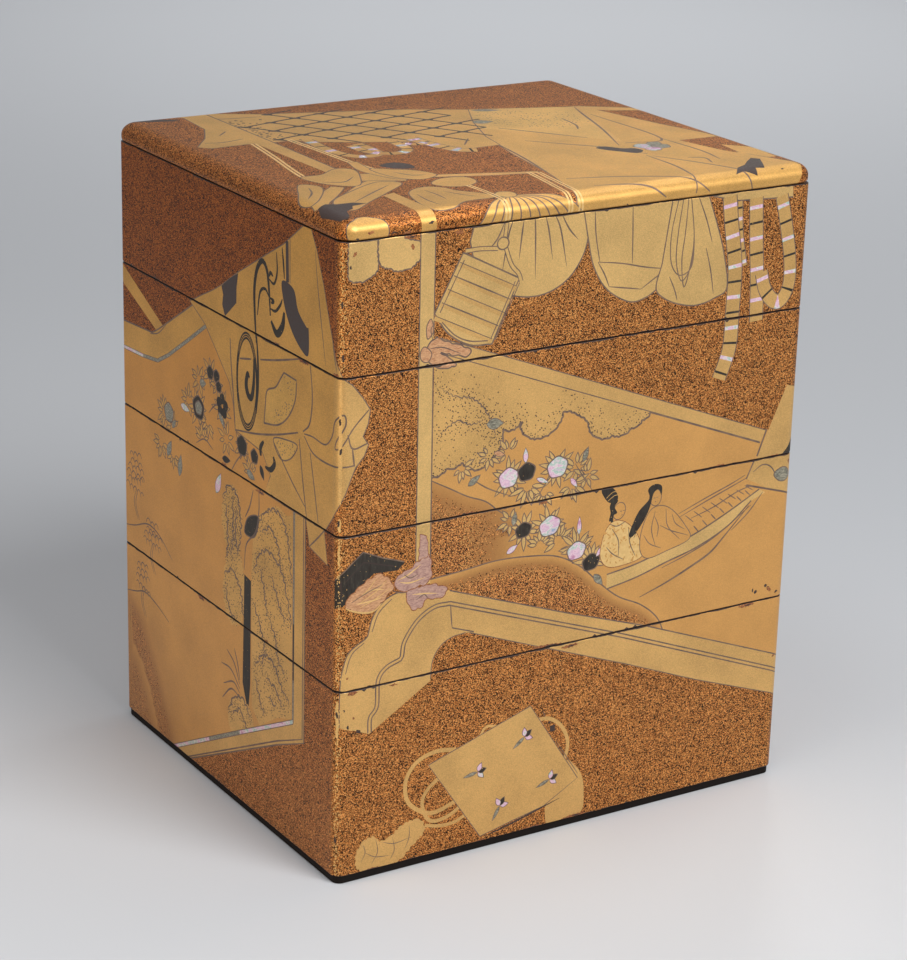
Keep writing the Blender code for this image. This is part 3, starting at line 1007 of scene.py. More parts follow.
def drawTablet(p):
    # A folded square of cloth with small shell crests, its cords looped round it, and a drawn-up purse.
    for cord, width in (
            ([(57, 49.2), (47, 50.4), (38, 47.6), (33, 40.6), (33.6, 31.6), (39, 25.6), (47, 22.6),
            (58.6, 25.8)], 1.9), ([(49, 38), (43.6, 34), (41, 28.6), (43, 21.6), (47, 18.6), (54, 19.4),
            (60, 22.6)], 1.7), ([(42.6, 17.6), (50, 15.8), (57, 15.8), (63, 18.2)], 1.5),
            ([(97, 54), (103.6, 53), (109.6, 48.2), (113, 41), (112.6, 35), (111, 30.6)], 1.7),
            ([(70.6, 48.6), (69, 52.6), (71.6, 56.2), (76.6, 55.4)], 1.2)):
        p.fill(gold, bandOf(curve(cord), width))
    p.fill(gold, blob((103.6, 4), (112, 4.2), (121.6, 5.4), (122.6, 14), (121.4, 22), (117.6, 28),
        (112, 31.6), (104, 22)))
    square = np.array([(43.6, 45), (93.4, 61), (119, 22), (102, 12.6), (86, 9.4), (70, 6)], float)
    edged(p, gold, square, ink, 0.3)
    p.line(brownBlack, curve([(72, 5.4), (82, 7.4), (96, 10.8), (110, 14.4)]), 0.9, 0.8)
    strokes(p, ink, [[(107, 42), (113, 33), (119, 24)], [(100, 57), (101, 54.6)]], 0.3)
    for x, y, turn in ((91, 47.4, 38), (68, 36.4, 10), (79.6, 18, 60), (104.6, 24.6, 20)):
        pod(p, x, y, 7.6, 1.9, turn + 180, silver)
        for k, kind in enumerate((shell, dark, shell)):
            pod(p, x, y, 4.6, 2.7, turn - 56 + 56 * k, kind)
    purse = blob((9.8, 7), (10, 13), (13, 17.4), (18, 18.4), (21, 15.6), (26, 16.6), (30.6, 20), (36, 21.6),
        (41, 20.4), (42.2, 15), (38, 11), (34.6, 8), (30, 4.4), (20, 3.6), (13, 4))
    p.fill(gold, crinkled(purse, 3.0, 0.8, closed=True))
    strokes(p, ink, [[(12, 8), (14, 12), (13, 16)], [(17, 6), (20, 11), (19, 17)],
        [(26, 6), (28, 10), (27, 16)], [(33, 9), (35, 14), (35, 20)]], 0.24, 0.9)
    strokes(p, ink, [[(22, 15), (28, 13), (36, 14)], [(14, 12), (19, 9), (26, 8)]], 0.26, 0.9)
    p.fill(brownBlack, [(103.6, 46.8), (106.4, 47), (106.2, 49.8), (103.8, 49.6)])
    p.fill(brownBlack, ellipse(103.4, 51.4, 0.7, 0.5, 30, 9))


def swept(picture, kind, points, width, taper):
    # A brush stroke that swells in its middle.
    picture.line(kind, curve(points, 8), width, taper)


def crags(picture, region, ridges):
    # Craggy ridges drawn over a patch of gold, with dots gathered along each.
    picture.fill(gold, region)
    for ridge in ridges:
        ridge = crinkled(curve(ridge), 5.2, 1.7)
        stipple(picture, region, ridge, 1.05, 2.7, 0.31, brownBlack, 0.85)
        picture.line(ink, ridge, 0.62, 0.5)


def pine(picture, x, y, width, tiers):
    # Loose scalloped lines of needles, one over another, on a leaning trunk.
    for k in range(tiers * 2):
        half, level = width / 2 * (0.55 + 0.45 * k / (2 * tiers)), y - 3.0 * k
        left, right = x - half + rng.uniform(0, 3), x + half * rng.uniform(0.7, 1.0)
        row = np.linspace((left, level), (right, level + rng.uniform(-2, 2)), max(3, int(half / 1.9)) + 1)
        picture.line(ink, scallops(row + rng.uniform(-0.5, 0.5, row.shape), 0.45, 4), 0.46, 0.4)
        for place in row[1:-1]:
            picture.line(ink, straight(place, place + [0.5, -1.8], 2), 0.28, 0.4)
    base = y - 6.0 * tiers
    for shift in (0.0, 1.6):
        strokes(picture, ink, [[(x + shift, base + 3), (x - 2 + shift, base - 4),
            (x + 1.6 + shift, base - 11)]], 0.34)


def drawRobe(p):
    # Hanging robes cross the near corner: gold cloth with dark scrolls and patches.
    robe = np.array([(-129, 216.6), (-118, 222), (-108, 226.6), (-100, 230.8), (-85, 240), (-60, 253.6),
        (-47, 260.6), (-34, 269.6), (-28.4, 273.5), (-25.6, 273.5), (-20, 264.6), (-14.4, 252), (-9.4, 238),
        (-4.4, 225), (0.6, 217.6), (5, 215.2), (10, 209), (13.2, 204), (12.4, 198.4), (10.2, 193.4),
        (12.6, 189.6), (10.8, 185.2), (7, 181), (5, 176.6), (2, 170), (-1, 165.2), (-6, 158.6),
        (-12, 151.4), (-9.2, 138.2), (-24, 141.2), (-27, 152), (-62, 152), (-57, 161), (-64, 169),
        (-88, 171.4), (-89.6, 182), (-93, 190.6), (-104.6, 201), (-115, 210)])
    edged(p, gold, robe, ink, 0.34)
    p.fill(brownBlack, [(-100, 230.4), (-92.6, 235.4), (-85.2, 239.4), (-86.6, 233), (-86.8, 226.4), (-91, 223),
        (-97, 218.2), (-99.4, 222.6), (-98.6, 227)])
    p.fill(brownBlack, blob((-48, 245.4), (-38.4, 244.4), (-34.6, 236.6), (-28, 231.8), (-26, 231),
        (-26.2, 220.6), (-32, 221.4), (-40, 227.2), (-46, 236)))
    for points, width in (
            ([(-69.4, 214), (-70.6, 224), (-71.2, 236), (-69, 245), (-64.4, 249.6), (-60.4, 246.4),
            (-58.6, 238), (-57.6, 228.6)], 2.3), ([(-68.6, 226), (-66.4, 236), (-62, 238.6), (-58.6, 236)],
            1.4), ([(-57, 226.6), (-52, 222.6), (-47.4, 227), (-46, 233)], 3.4),
            ([(-57.6, 231.6), (-53.4, 231.6), (-49.4, 235), (-47.6, 238)], 1.4),
            ([(-59, 243.6), (-54.6, 242.6), (-52, 248), (-52.6, 256)], 1.3),
            ([(-58.6, 244.6), (-57.6, 246.4), (-55.4, 245.4)], 1.6),
            ([(-57.6, 236), (-55, 235.2), (-57, 234)], 1.8),
            ([(-48, 259), (-46.8, 252.6), (-46, 246.6)], 1.3)):
        swept(p, dark, points, width, 0.6)
    p.line(brownBlack, straight((-44, 262.6), (-43.4, 246), 6), 2.4, 0)
    p.line(ink, straight((-41.6, 264), (-41.4, 246), 6), 0.4, 0)
    strokes(p, ink, [[(-22, 268), (-19, 250), (-15, 232), (-12, 219)],
        [(-8, 236), (-5.6, 226), (-3, 219)]], 0.4, 0.9)

    # The sleeve in the second tier, with a round scroll, a fan-shaped patch and a knotted cord.
    a = np.linspace(0, 2 * np.pi, 40)
    ring = np.column_stack([-77.6 + 8.6 * np.cos(a), 195.4 + 19.6 * np.sin(a)])
    swell = 3.2 * (0.45 + 0.55 * np.abs(np.sin(a)) ** 1.5)
    across = np.column_stack([np.cos(a), np.sin(a)]) * swell[:, None]
    for k in range(0, 39, 3):
        band = slice(k, k + 4)
        p.fill(dark, np.vstack([(ring + across * 0.5)[band], (ring - across * 0.5)[band][::-1]]))
    for part in (slice(4, 17), slice(23, 37)):
        for share in (-0.14, 0.16):
            p.line(gold, (ring + across * share)[part], 0.3, 0.6)
    swept(p, dark, [(-71.4, 207), (-71.6, 197), (-73.4, 190), (-76.4, 190), (-78.2, 194), (-77, 199),
        (-75.4, 197.6)], 3.0, 0.6)
    swept(p, dark, [(-69.2, 217), (-68, 206), (-68, 195), (-69.6, 184)], 1.7, 0.5)
    strokes(p, ink, [[(-92.4, 210), (-91.6, 200), (-89.6, 186), (-88, 172)],
        [(-88, 171.6), (-70, 175.2), (-52, 180.2), (-34, 186.4)],
        [(-30, 188), (-24.6, 193), (-22.6, 204), (-24.4, 217)], [(-66, 208), (-52, 211.6), (-34, 217)],
        [(-84, 203.6), (-74, 206)]], 0.62, 0.3)
    patch = np.vstack([curve([(-62.6, 182), (-61.6, 190), (-60, 196.6), (-53, 200), (-48.6, 205),
        (-46, 208)]), curve([(-35.6, 207.6), (-36.6, 199), (-42.4, 190.4), (-51, 184.6), (-62.6, 182)])])
    edged(p, pale, patch, ink, 0.55)
    stipple(p, patch, curve([(-45, 206), (-40, 200), (-44, 193), (-50, 189)]), 1.3, 2.6, 0.36, ink, 0.7)
    hem = blob((-54.6, 177.6), (-48.6, 171), (-40, 173.6), (-34.6, 180.6), (-44, 180.4))
    edged(p, pale, hem, ink, 0.45)
    stipple(p, hem, curve([(-52, 177), (-44, 175), (-38, 180)]), 1.3, 2.4, 0.34, ink, 0.7)
    strokes(p, ink, [[(-29, 187.4), (-22, 188.2), (-12, 188), (-6.6, 193), (-4.4, 199.6), (1, 203),
        (1.8, 198.6), (-3, 192), (-4, 188.6), (0, 190), (6, 197.6), (12.6, 204)],
        [(-29, 186.4), (-22, 181.6), (-12, 180.6), (0, 181.6), (6.4, 182)],
        [(3, 195), (5.6, 189), (12, 190.2)], [(5.4, 189), (6.4, 181.6)],
        [(-54, 176), (-40, 165), (-28, 157)], [(-33, 184), (-30, 168), (-26.6, 153)],
        [(-24, 181), (-20.6, 168), (-17, 153.4)], [(-24, 141.4), (-17, 147.4), (-11, 153)]], 0.55, 0.3)
    swept(p, dark, [(-63, 174), (-65.6, 170.6), (-65.4, 167)], 2.4, 0.5)
    swept(p, dark, [(-54.6, 170), (-53.6, 167), (-57, 163.6), (-61.6, 163.4)], 2.6, 0.6)
    p.fill(dark, ellipse(-0.6, 181.4, 1.1, 1.7))


def drawGarden(p):
    # A folding panel on the left side: a jointed rail, flowering shrubs, rocks, a pool and misty hills.
    rail = np.array([(-250, 177), (-198, 178.8), (-175, 180), (-160.6, 181.6), (-150, 187),
        (-130, 199.4), (-114, 209.6)])
    cap = np.array([(-252, 180), (-254, 183), (-252, 187), (-246, 189), (-198, 191), (-165.6, 193),
        (-159, 196.4), (-125, 216.4), (-112, 223)])
    p.fill(deep, np.vstack([rail, [(-60, 209), (-37, 190), (-37, 59), (-149, 2), (-250, 2)]]))
    p.fill(gold, np.vstack([cap, rail[::-1]]))
    p.fill(gold, [(-213, 225), (-194, 216.6), (-154.6, 198.6), (-160, 194.4), (-198, 210), (-222, 220)])
    p.line(ink, cap, 0.5, 0)
    strokes(p, ink, [[(-168, 191.8), (-159.6, 194.4), (-152, 200)]], 0.4)
    for k in range(6):
        part = straight(rail[k], rail[k + 1], 3)
        p.line(ink, part, 1.25, 0)
        p.line(shell if k in (0, 1) else silver, part, 1.3, 0)
    p.fill(gold, [(-36.4, 190), (-27.4, 180), (-27.4, 53.4), (-50, 43.6), (-137, 1), (-151, 1), (-149, 2.6),
        (-80, 37), (-36.4, 58.6)])
    p.fill(ground, [(-27.4, 152), (-27.4, 53.4), (-50, 43.6), (-137, 1), (2, 1), (2, 80),
        (-10, 138), (-24, 141.4)])
    for side in (
            np.array([(-28.8, 152), (-28.8, 54.6), (-50, 45.4), (-135, 3)]),
            np.array([(-27.4, 152), (-27.4, 53.4), (-50, 43.6), (-137, 1)])):
        p.line(ink, side, 0.5, 0)

    # Shrubs
    rosettes(p, 2.6, gold, ((-154, 160, 8, 8, 60, 220), (-146, 155, 8, 7, 40, 160),
        (-131, 172, 7.5, 8, 40, 260), (-122, 171, 9, 11, 0, 360), (-121, 184, 7.5, 9, 0, 360),
        (-110, 190, 7.5, 9, 0, 360), (-104, 186, 6.5, 7, 0, 360), (-100, 177, 9, 10, 0, 360),
        (-113, 168, 8, 7, 160, 180), (-96, 165, 8, 8, 0, 360), (-118, 158, 8, 7, 20, 160),
        (-82, 166, 7, 9, 0, 360), (-74, 157, 7, 7, 20, 180), (-158, 145, 8, 8, 150, 220),
        (-146, 143, 7, 7, 180, 180)))
    strokes(p, ink, [[(-124, 155), (-116, 159), (-108, 156.6)], [(-112, 172), (-106, 177), (-100, 178)],
        [(-92, 152), (-86, 159), (-80, 164)]], 0.5)
    blossoms(p, ((-121.6, 171.4, 4.8, dark), (-110.6, 190, 2.6, dark), (-104.8, 190, 2.4, dark),
        (-102.8, 186, 2.1, dark), (-150, 161, 4.0, silver), (-82, 166.4, 4.0, dark),
        (-71, 165, 2.8, dark)), 1.0)
    for k in range(5):
        a = math.radians(72 * k + 18)
        p.fill(dark, ellipse(-99.6 + 3.0 * math.cos(a), 178.4 + 3.2 * math.sin(a), 2.4, 2.4, steps=12))
    blossom(p, -121.4, 171.4, 3.0, silver, 0.9)
    pods(p, ((-138.6, 168, 9, 3.6, -4, shell), (-103, 175, 8.4, 3.0, -44, silver),
        (-120.6, 183, 6.4, 4.0, 10, silver), (-100, 155.4, 8, 3.4, 8, dark),
        (-78, 157, 8, 3.8, -16, silver), (-66, 163, 7, 3.6, -60, dark), (-152, 140.6, 9.4, 4.4, 62, silver),
        (-140.4, 134.6, 11, 4.4, 80, silver), (-105.6, 138, 11.4, 5.0, 66, shell),
        (-147, 155, 6, 3.0, 50, silver)))

    # Rocks round a narrow fall of water
    leftRock = crinkled(blob((-99, 138), (-94, 146), (-86, 144), (-82, 132), (-84, 120), (-80, 108),
        (-80, 96), (-84, 86), (-93, 84), (-99, 94), (-98, 106), (-96, 116), (-100, 126)),
        5.0, 1.4, closed=True)
    crags(p, leftRock, [[(-99, 138), (-94, 145), (-87, 143), (-83, 132), (-85, 118)],
        [(-97, 136), (-95, 124), (-96, 112)], [(-91, 141), (-90, 128), (-92, 114)],
        [(-87, 136), (-88, 126), (-86, 116)], [(-98, 104), (-90, 108), (-83, 100), (-81, 90)],
        [(-97, 98), (-94, 90), (-88, 86)]])
    rightRock = np.array([(-72, 130), (-68, 140), (-58, 147), (-50, 150), (-43, 148), (-38, 150), (-38, 60),
        (-50, 56), (-66, 46), (-73, 52), (-73.6, 110)], float)
    crags(p, rightRock, [[(-68, 136), (-62, 143), (-54, 147), (-46, 145), (-41, 134), (-38.6, 120)],
        [(-64, 134), (-57, 138), (-51, 133), (-48, 124)],
        [(-71, 114), (-66, 124), (-57, 127), (-48, 123), (-42, 112), (-38.6, 100)],
        [(-66, 117), (-62, 108), (-60, 98)], [(-56, 117), (-50, 108), (-44, 100)],
        [(-72, 100), (-66, 92), (-62, 82), (-64, 74)], [(-58, 98), (-52, 90), (-50, 82), (-44, 78)],
        [(-70, 72), (-62, 80), (-53, 78), (-46, 70), (-40, 66)], [(-70, 66), (-66, 58), (-62, 52)],
        [(-60, 70), (-52, 68), (-46, 62)], [(-58, 62), (-52, 60)]])
    lowRock = blob((-95, 42), (-90, 50), (-81, 53), (-73, 48), (-72, 40), (-82, 35), (-92, 33))
    crags(p, lowRock, [[(-94, 42), (-89, 50), (-81, 52), (-74, 46)], [(-90, 42), (-84, 46), (-78, 40)]])
    for side, width, kind in (
            (straight((-36.8, 154), (-36.8, 59), 8), 0.8, silver),
            (straight((-149, 2.4), (-80, 37.6), 6), 1.5, shell),
            (straight((-80, 37.6), (-37, 59.2), 4), 1.5, shell)):
        p.line(ink, side, width * 0.7 + 0.5, 0)
        p.line(kind, side, width, 0)
    p.line(dark, straight((-36.8, 103), (-36.8, 78)), 0.9, 0)
    p.line(silver, straight((-113, 20.8), (-84, 35.6)), 1.5, 0)
    p.fill(dark, [(-79.8, 110), (-73.8, 109), (-74.4, 62), (-75.8, 51), (-78.2, 52), (-81.4, 60)])
    edged(p, dark, blob((-79.6, 129), (-77, 136), (-70, 139.6), (-67, 138.4), (-69, 132),
        (-72.6, 128.8)), ink, 0.4)
    strokes(p, ink, [[(-67, 152), (-67, 142), (-70, 132), (-78, 124), (-80, 112)],
        [(-84, 54), (-90, 57), (-99, 53)], [(-84, 56), (-92, 62), (-101, 62)],
        [(-84, 58), (-89, 66), (-96, 70)], [(-84, 60), (-86, 67), (-89, 73)],
        [(-84, 52), (-92, 53), (-100, 46)], [(-72, 150), (-75, 142), (-79, 136)]], 0.6)

    # Distant pines and misty hills towards the far corner
    pine(p, -184, 130, 24, 3)
    pine(p, -210, 122, 20, 2)
    pine(p, -168, 103, 26, 2)
    pine(p, -178, 79, 22, 2)
    strokes(p, ink, [[(-198, 94), (-186, 97), (-172, 102), (-160, 100), (-148, 93)],
        [(-198, 62), (-186, 65), (-176, 68), (-164, 66), (-152, 62)]], 0.5, 0.6)
    far = curve([(-250, 60), (-215, 66), (-198, 66), (-182, 61), (-170, 50), (-160, 36),
        (-151, 20), (-142, 3)])
    near = curve([(-250, 36), (-215, 40), (-198, 41), (-186, 37), (-176, 28), (-168, 16), (-162, 3)])
    p.mist(np.vstack([far, near[::-1]]), far, 13.0, 0.08, 0.56)
    p.mist(np.vstack([near, [(-250, 2)]]), near, 15.0, 0.1, 0.54)
    p.mist([(-251, 0), (-251, 226), (-199, 226), (-199, 0)],
        np.array([(-251.0, -50.0), (-251.0, 260.0)]), 50.0, 1.15, 0.0)


def drawBack(p):
    # The far sides are plainer: a band of gold mist, two clouds and a few flowers on the sprinkled ground.
    start = width + depth
    p.fill(gold, [(226, 184), (240, 178), (258, 152), (262, 120), (250, 86), (240, 52), (226, 38),
        (226, 57), (226, 152)])
    p.mist([(226.5, 30), (226.5, 190), (264, 190), (264, 30)],
        np.array([(264.0, 0.0), (264.0, 230.0)]), 36.0, 1.15, 0.0)
    for s, z, size in (
            (270, 246, 1.0), (372, 236, 1.25), (start + 64, 250, 1.15), (start + 158, 214, 1.0),
            (296, 112, 1.3), (start + 40, 100, 1.35)):
        under = [(s - 26 * size, z), (s - 14 * size, z - 4 * size), (s + 2 * size, z - 5 * size),
            (s + 18 * size, z - 3 * size), (s + 27 * size, z + 1)]
        over = [(s + 27 * size, z + 1), (s + 17 * size, z + 6 * size), (s + 4 * size, z + 9 * size),
            (s - 9 * size, z + 7 * size), (s - 20 * size, z + 4 * size), (s - 26 * size, z)]
        cloud = np.vstack([scallops(under, -0.16), scallops(over, -0.2)])
        edged(p, gold, cloud)
        stipple(p, cloud, scallops(under, -0.16), 1.3, 3.0)
    for s, z in ((330, 178), (318, 60), (400, 160), (start + 96, 172), (start + 190, 60), (start + 120, 46)):
        strokes(p, fine, [[(s - 22, z - 18), (s - 10, z - 8), (s, z), (s + 14, z + 5)]], 0.9, 0.5)
        for dx, dy, radius, kind in ((0, 0, 4.4, shell), (-12, -7, 3.6, dark), (11, 6, 3.8, coral)):
            rosette(p, s + dx, z + dy, radius * 2, 2.6, 10, rng.uniform(0, 40), 360.0, gold)
            blossom(p, s + dx, z + dy, radius, kind)


def drawLid(p):
    # Places are counted from the lid's near left corner. A gold screen leans in from the right, a lattice
    # stands behind it, and cords, bags and barred ribbons are strewn over the ground.
    def at(points):
        return np.asarray(points, float) - [113, 99]

    def etch(lines, width, taper):
        strokes(p, ink, [at(line) for line in lines], width, taper)

    panel = at([(104, -12), (114, 30), (120, 70), (126, 98), (133, 120), (150, 151), (190, 139), (200, 137),
        (232, 118), (232, 104), (203, 127), (212, 92), (222, 60), (201, 60), (207, 40), (212, 26),
        (218, 12), (226, -4), (232, -12)])
    edged(p, gold, panel, ink, 0.4)
    p.fill(ground, at([(206, 124), (215, 92), (223, 60), (240, 56), (240, 112)]))
    p.fill(gold, at([(224, 34), (212, 46), (210, 30), (216, 18), (240, 18), (240, 42)]))
    p.fill(ground, at([(200, 60), (206, 36), (209, 30), (212, 46), (224, 36), (240, 30),
        (240, 54), (222, 55)]))
    p.fill(ground, at([(216, -10), (222, 4), (220, 24), (240, 20), (240, -10)]))
    p.fill(pale, at([(130, 118), (150, 151), (190, 139), (197, 136), (190, 112), (182, 88), (176, 68),
        (150, 100), (136, 112)]))
    patch = at([(138, 126), (152, 148), (186, 138), (189, 112), (178, 96), (160, 104)])
    for line in (
            [(142, 124), (156, 112), (172, 104)], [(148, 136), (162, 122), (182, 112)],
            [(158, 142), (172, 128), (188, 124)], [(160, 106), (166, 96), (172, 88)]):
        stipple(p, patch, curve(at(line)), 1.6, 4.6, 0.4, ink, 0.55)
    etch(([(138, 86), (152, 72), (164, 60), (172, 44)], [(170, 62), (182, 92), (192, 122), (197, 136)],
        [(141, 112), (152, 98), (166, 80)], [(172, 40), (182, 24), (190, 8), (194, -6)],
        [(195, 120), (195, 66), (175, 65)], [(195, 66), (197, 40), (195, 24)],
        [(170, 42), (170, 20), (165, -4)], [(116, 22), (138, 16), (160, 6), (172, -4)],
        [(124, 88), (120, 60), (114, 30)], [(178, 118), (176, 104), (172, 96)],
        [(184, 32), (190, 28), (188, 20)], [(120, 8), (140, 3), (150, -4)]), 0.8, 0.6)
    p.fill(brownBlack, at(blob((158, 62), (163, 63), (168, 57), (173, 55), (174, 50), (169, 47),
        (164, 52), (160, 57))))
    p.fill(brownBlack, at([(187, 2), (192, 8), (198, 11), (202, 15), (208, 20), (210.6, 17), (206, 9), (203, 4),
        (199, 5), (197, 0), (192, 3.4)]))
    for x, y, radius in ((179, 57, 4.2), (186, 54, 4.0), (180, 51, 3.4), (186, 59, 3.2)):
        blossom(p, *at([(x, y)])[0], radius, silver if x > 180 else shell)
    for x, y, length, width, angle in ((136, 127, 11, 7, -12), (150, 149, 14, 5, -22)):
        pod(p, *at([(x, y)])[0], length, width, angle, silver)

    # Lattice: a diamond net in ink, with a knot at each crossing, over a gold blind.
    blind = at([(28, 190), (24, 199), (34, 198), (62, 183), (100, 171), (126, 163), (150, 151), (138, 128),
        (127, 100), (124, 84), (99, 83), (96, 104), (72, 114), (58, 122), (49, 130), (40, 130), (31, 132),
        (12, 132), (8, 137), (18, 150), (26, 166)])
    edged(p, gold, blind, ink, 0.4)
    net = at([(42, 172), (66, 182), (100, 170), (128, 158), (137, 134), (128, 104), (118, 98), (84, 116),
        (64, 124), (44, 134)])
    across, along, origin = np.array([14.0, 3.6]), np.array([-7.5, 12.0]), at([(50, 177)])[0]
    nodes = np.array([origin + across * i - along * j for i in range(-9, 12) for j in range(-6, 12)])
    for node in nodes[within(net, nodes)]:
        for step in (across, -along):
            way = straight(node, node + step, 3)
            bend = way + np.array([0, 0.5]) * np.sin(np.linspace(0, np.pi, 4))[:, None]
            p.line(brownBlack, bend, 1.45, 0)
        p.fill(brownBlack, blob(node + (-2.6, 0.6), node + (0, 1.5), node + (2.6, -0.6), node + (0, -1.5)))
    stipple(p, net - [6, 0], at(np.array([(40, 176), (43, 156), (43, 136)])), 2.3, 6.0, 0.75, brownBlack, 0.8)
    etch(([(31, 190), (40, 182), (60, 178)], [(14, 142), (22, 140), (32, 142)], [(26, 152), (32, 158)],
        [(110, 90), (118, 100)]), 0.6, 0.5)

    # Post, cords and barred ribbons
    p.fill(gold, at([(31, 196), (40.4, 194), (40, 130), (40.6, 74), (34, 70), (33, 100), (32.4, 150)]))
    p.line(ink, straight(*at([(40.3, 192), (40.3, 76)]), 10), 0.5, 0)
    for cord in (
            [(31.6, 132), (27.6, 106), (23.6, 84), (21, 66)],
            [(48.4, 132), (50, 108), (51.4, 84), (54, 66)]):
        doubled(p, fine, curve(at(cord)), 1.7, 1.0)
    for centre, wide, count in (
            ([(55, 128), (54, 108), (57, 94), (64, 90), (70, 94), (70.4, 112)], 5.2, 8),
            ([(66, 110), (67, 98), (72, 91), (80, 90), (85, 96), (86, 110)], 5.0, 8),
            ([(96, 112), (98, 98), (103, 84), (110, 80)], 6.6, 6),
            ([(88, 104), (93, 100), (98, 102)], 4.2, 3)):
        barred(p, at(centre), wide, barsAlong(count, shell, 2.8, 0.372))

    # Knotted branch and strewn bags at the near left
    twig = [((12, 24), (28, 38), (44, 50), (58, 52)), ((22, 68), (34, 62), (46, 58), (58, 50)),
        ((26, 50), (16, 40), (8, 32), (4, 24)), ((56, 52), (72, 48), (90, 42), (112, 36)),
        ((52, 84), (50, 70), (54, 56), (58, 50))]
    for points, wide in zip(twig, (9, 12, 8, 4.4, 6)):
        edged(p, gold, bandOf(curve(at(points)), wide, 0.3), ink, 0.36)
    for outline in (
            blob((20, 70), (24, 56), (34, 48), (42, 60), (46, 72), (40, 77), (30, 71)),
            blob((52, 70), (60, 66), (68, 60), (72, 50), (62, 46), (54, 54)),
            blob((9, 20), (14, 15), (26, 24), (40, 34), (52, 44), (44, 50), (28, 42), (14, 32)),
            blob((3, 30), (10, 36), (20, 52), (14, 60), (6, 46), (1, 36))):
        edged(p, gold, at(outline), ink, 0.4)
    etch(([(24, 60), (32, 56), (40, 62)], [(20, 26), (34, 36), (46, 44)], [(58, 62), (62, 54), (68, 52)],
        [(6, 38), (12, 46), (15, 54)]), 0.6, 0.8)
    p.fill(brownBlack, at(blob((59, 74), (66, 76), (71, 71), (70, 64), (64, 65), (60, 69))))
    p.fill(brownBlack, at([(1, 12), (0, 18), (3, 25), (8, 28), (12, 26), (19, 25.6), (23, 22), (16, 21), (14, 17),
        (10, 15), (8, 9), (5, 5), (2, 6)]))
    p.fill(brownBlack, at([(6, 196), (18, 192), (26, 188), (22, 186), (12, 189), (4, 192)]))
    petal = at(blob((42, 4), (41.6, 14), (45, 27), (50, 33), (57, 35), (63, 31), (66, 24), (73, 16),
        (74, 9), (60, 8.4), (51, 3)))
    edged(p, gold, petal, ink, 0.4)
    etch(([(54, 30), (55, 22), (54.6, 14)], [(48, 26), (47, 16), (48, 8)],
        [(60, 26), (64, 18), (68, 13)]), 0.5, 0.8)
    pouch = at(np.vstack([[(57, -14)], curve([(60, -7), (65, 0), (71, 5), (79, 8.4), (88, 7.6), (98, 4),
        (106, -2), (111, -8)]), [(113, -14)]]))
    edged(p, gold, pouch, ink, 0.4)
    strokes(p, ink, [at([(80 + k * 1.2, 7), (80 + k * 3.4, 1), (80 + k * 5.6, -12)])
        for k in range(-3, 6)], 0.5, 0.7)
    edged(p, gold, at(blob((62, 38), (70, 44), (80, 42), (81, 34), (74, 29), (66, 31))), ink, 0.4)
    p.fill(gold, at([(34.4, -14), (34.6, 10), (35, 30), (41, 32), (41.4, 6), (41, -14)]))
    cloud = at(np.vstack([[(1, -14)], scallops([(0, -4), (6, 3), (15, 3.4), (20, -3)], 0.2), [(19, -14)]]))
    edged(p, gold, cloud, ink, 0.3)
    edged(p, pale, at(ellipse(80, 11, 4.4, 4.6)), ink, 0.4)
    for x, y, size in (
            (12, -3, 1.6), (22, -4, 1.1), (28, -5, 2.2), (39, -2, 1.4), (50, -6, 1.2), (67, -6, 1.8),
            (125, -6, 1.3), (131, -5, 0.8), (168, -7, 1.5), (205, -6, 1.2), (211, 2, 1.0),
            (6, -5, 1.3), (3, 2, 1.0)):
        nick = crinkled(at(ellipse(x, y, size, size * 0.4, rng.uniform(-20, 20), 16)), 1.7, 0.4, closed=True)
        p.fill(rubbed if size > 1.4 else brownBlack, nick)
    for cord in (
            [(74, 30), (75, 14), (74, -2), (73, -12)], [(108, 38), (106, 20), (104, 4), (103, -12)],
            [(111.6, 36), (110, 18), (108.6, 0), (108, -12)]):
        doubled(p, fine, curve(at(cord)), 1.5, 0.9)
    for x, y in ((56, -8), (70, -9), (84, -8), (98, -9)):
        p.fill(gold, at(blob((x - 7, y - 6), (x - 6, y + 1), (x, y + 3), (x + 6, y + 1), (x + 7, y - 6))))
        strokes(p, ink, [at([(x - 2, y + 2), (x - 2.6, y - 4)]), at([(x + 2, y + 2), (x + 2.6, y - 4)])], 0.5)


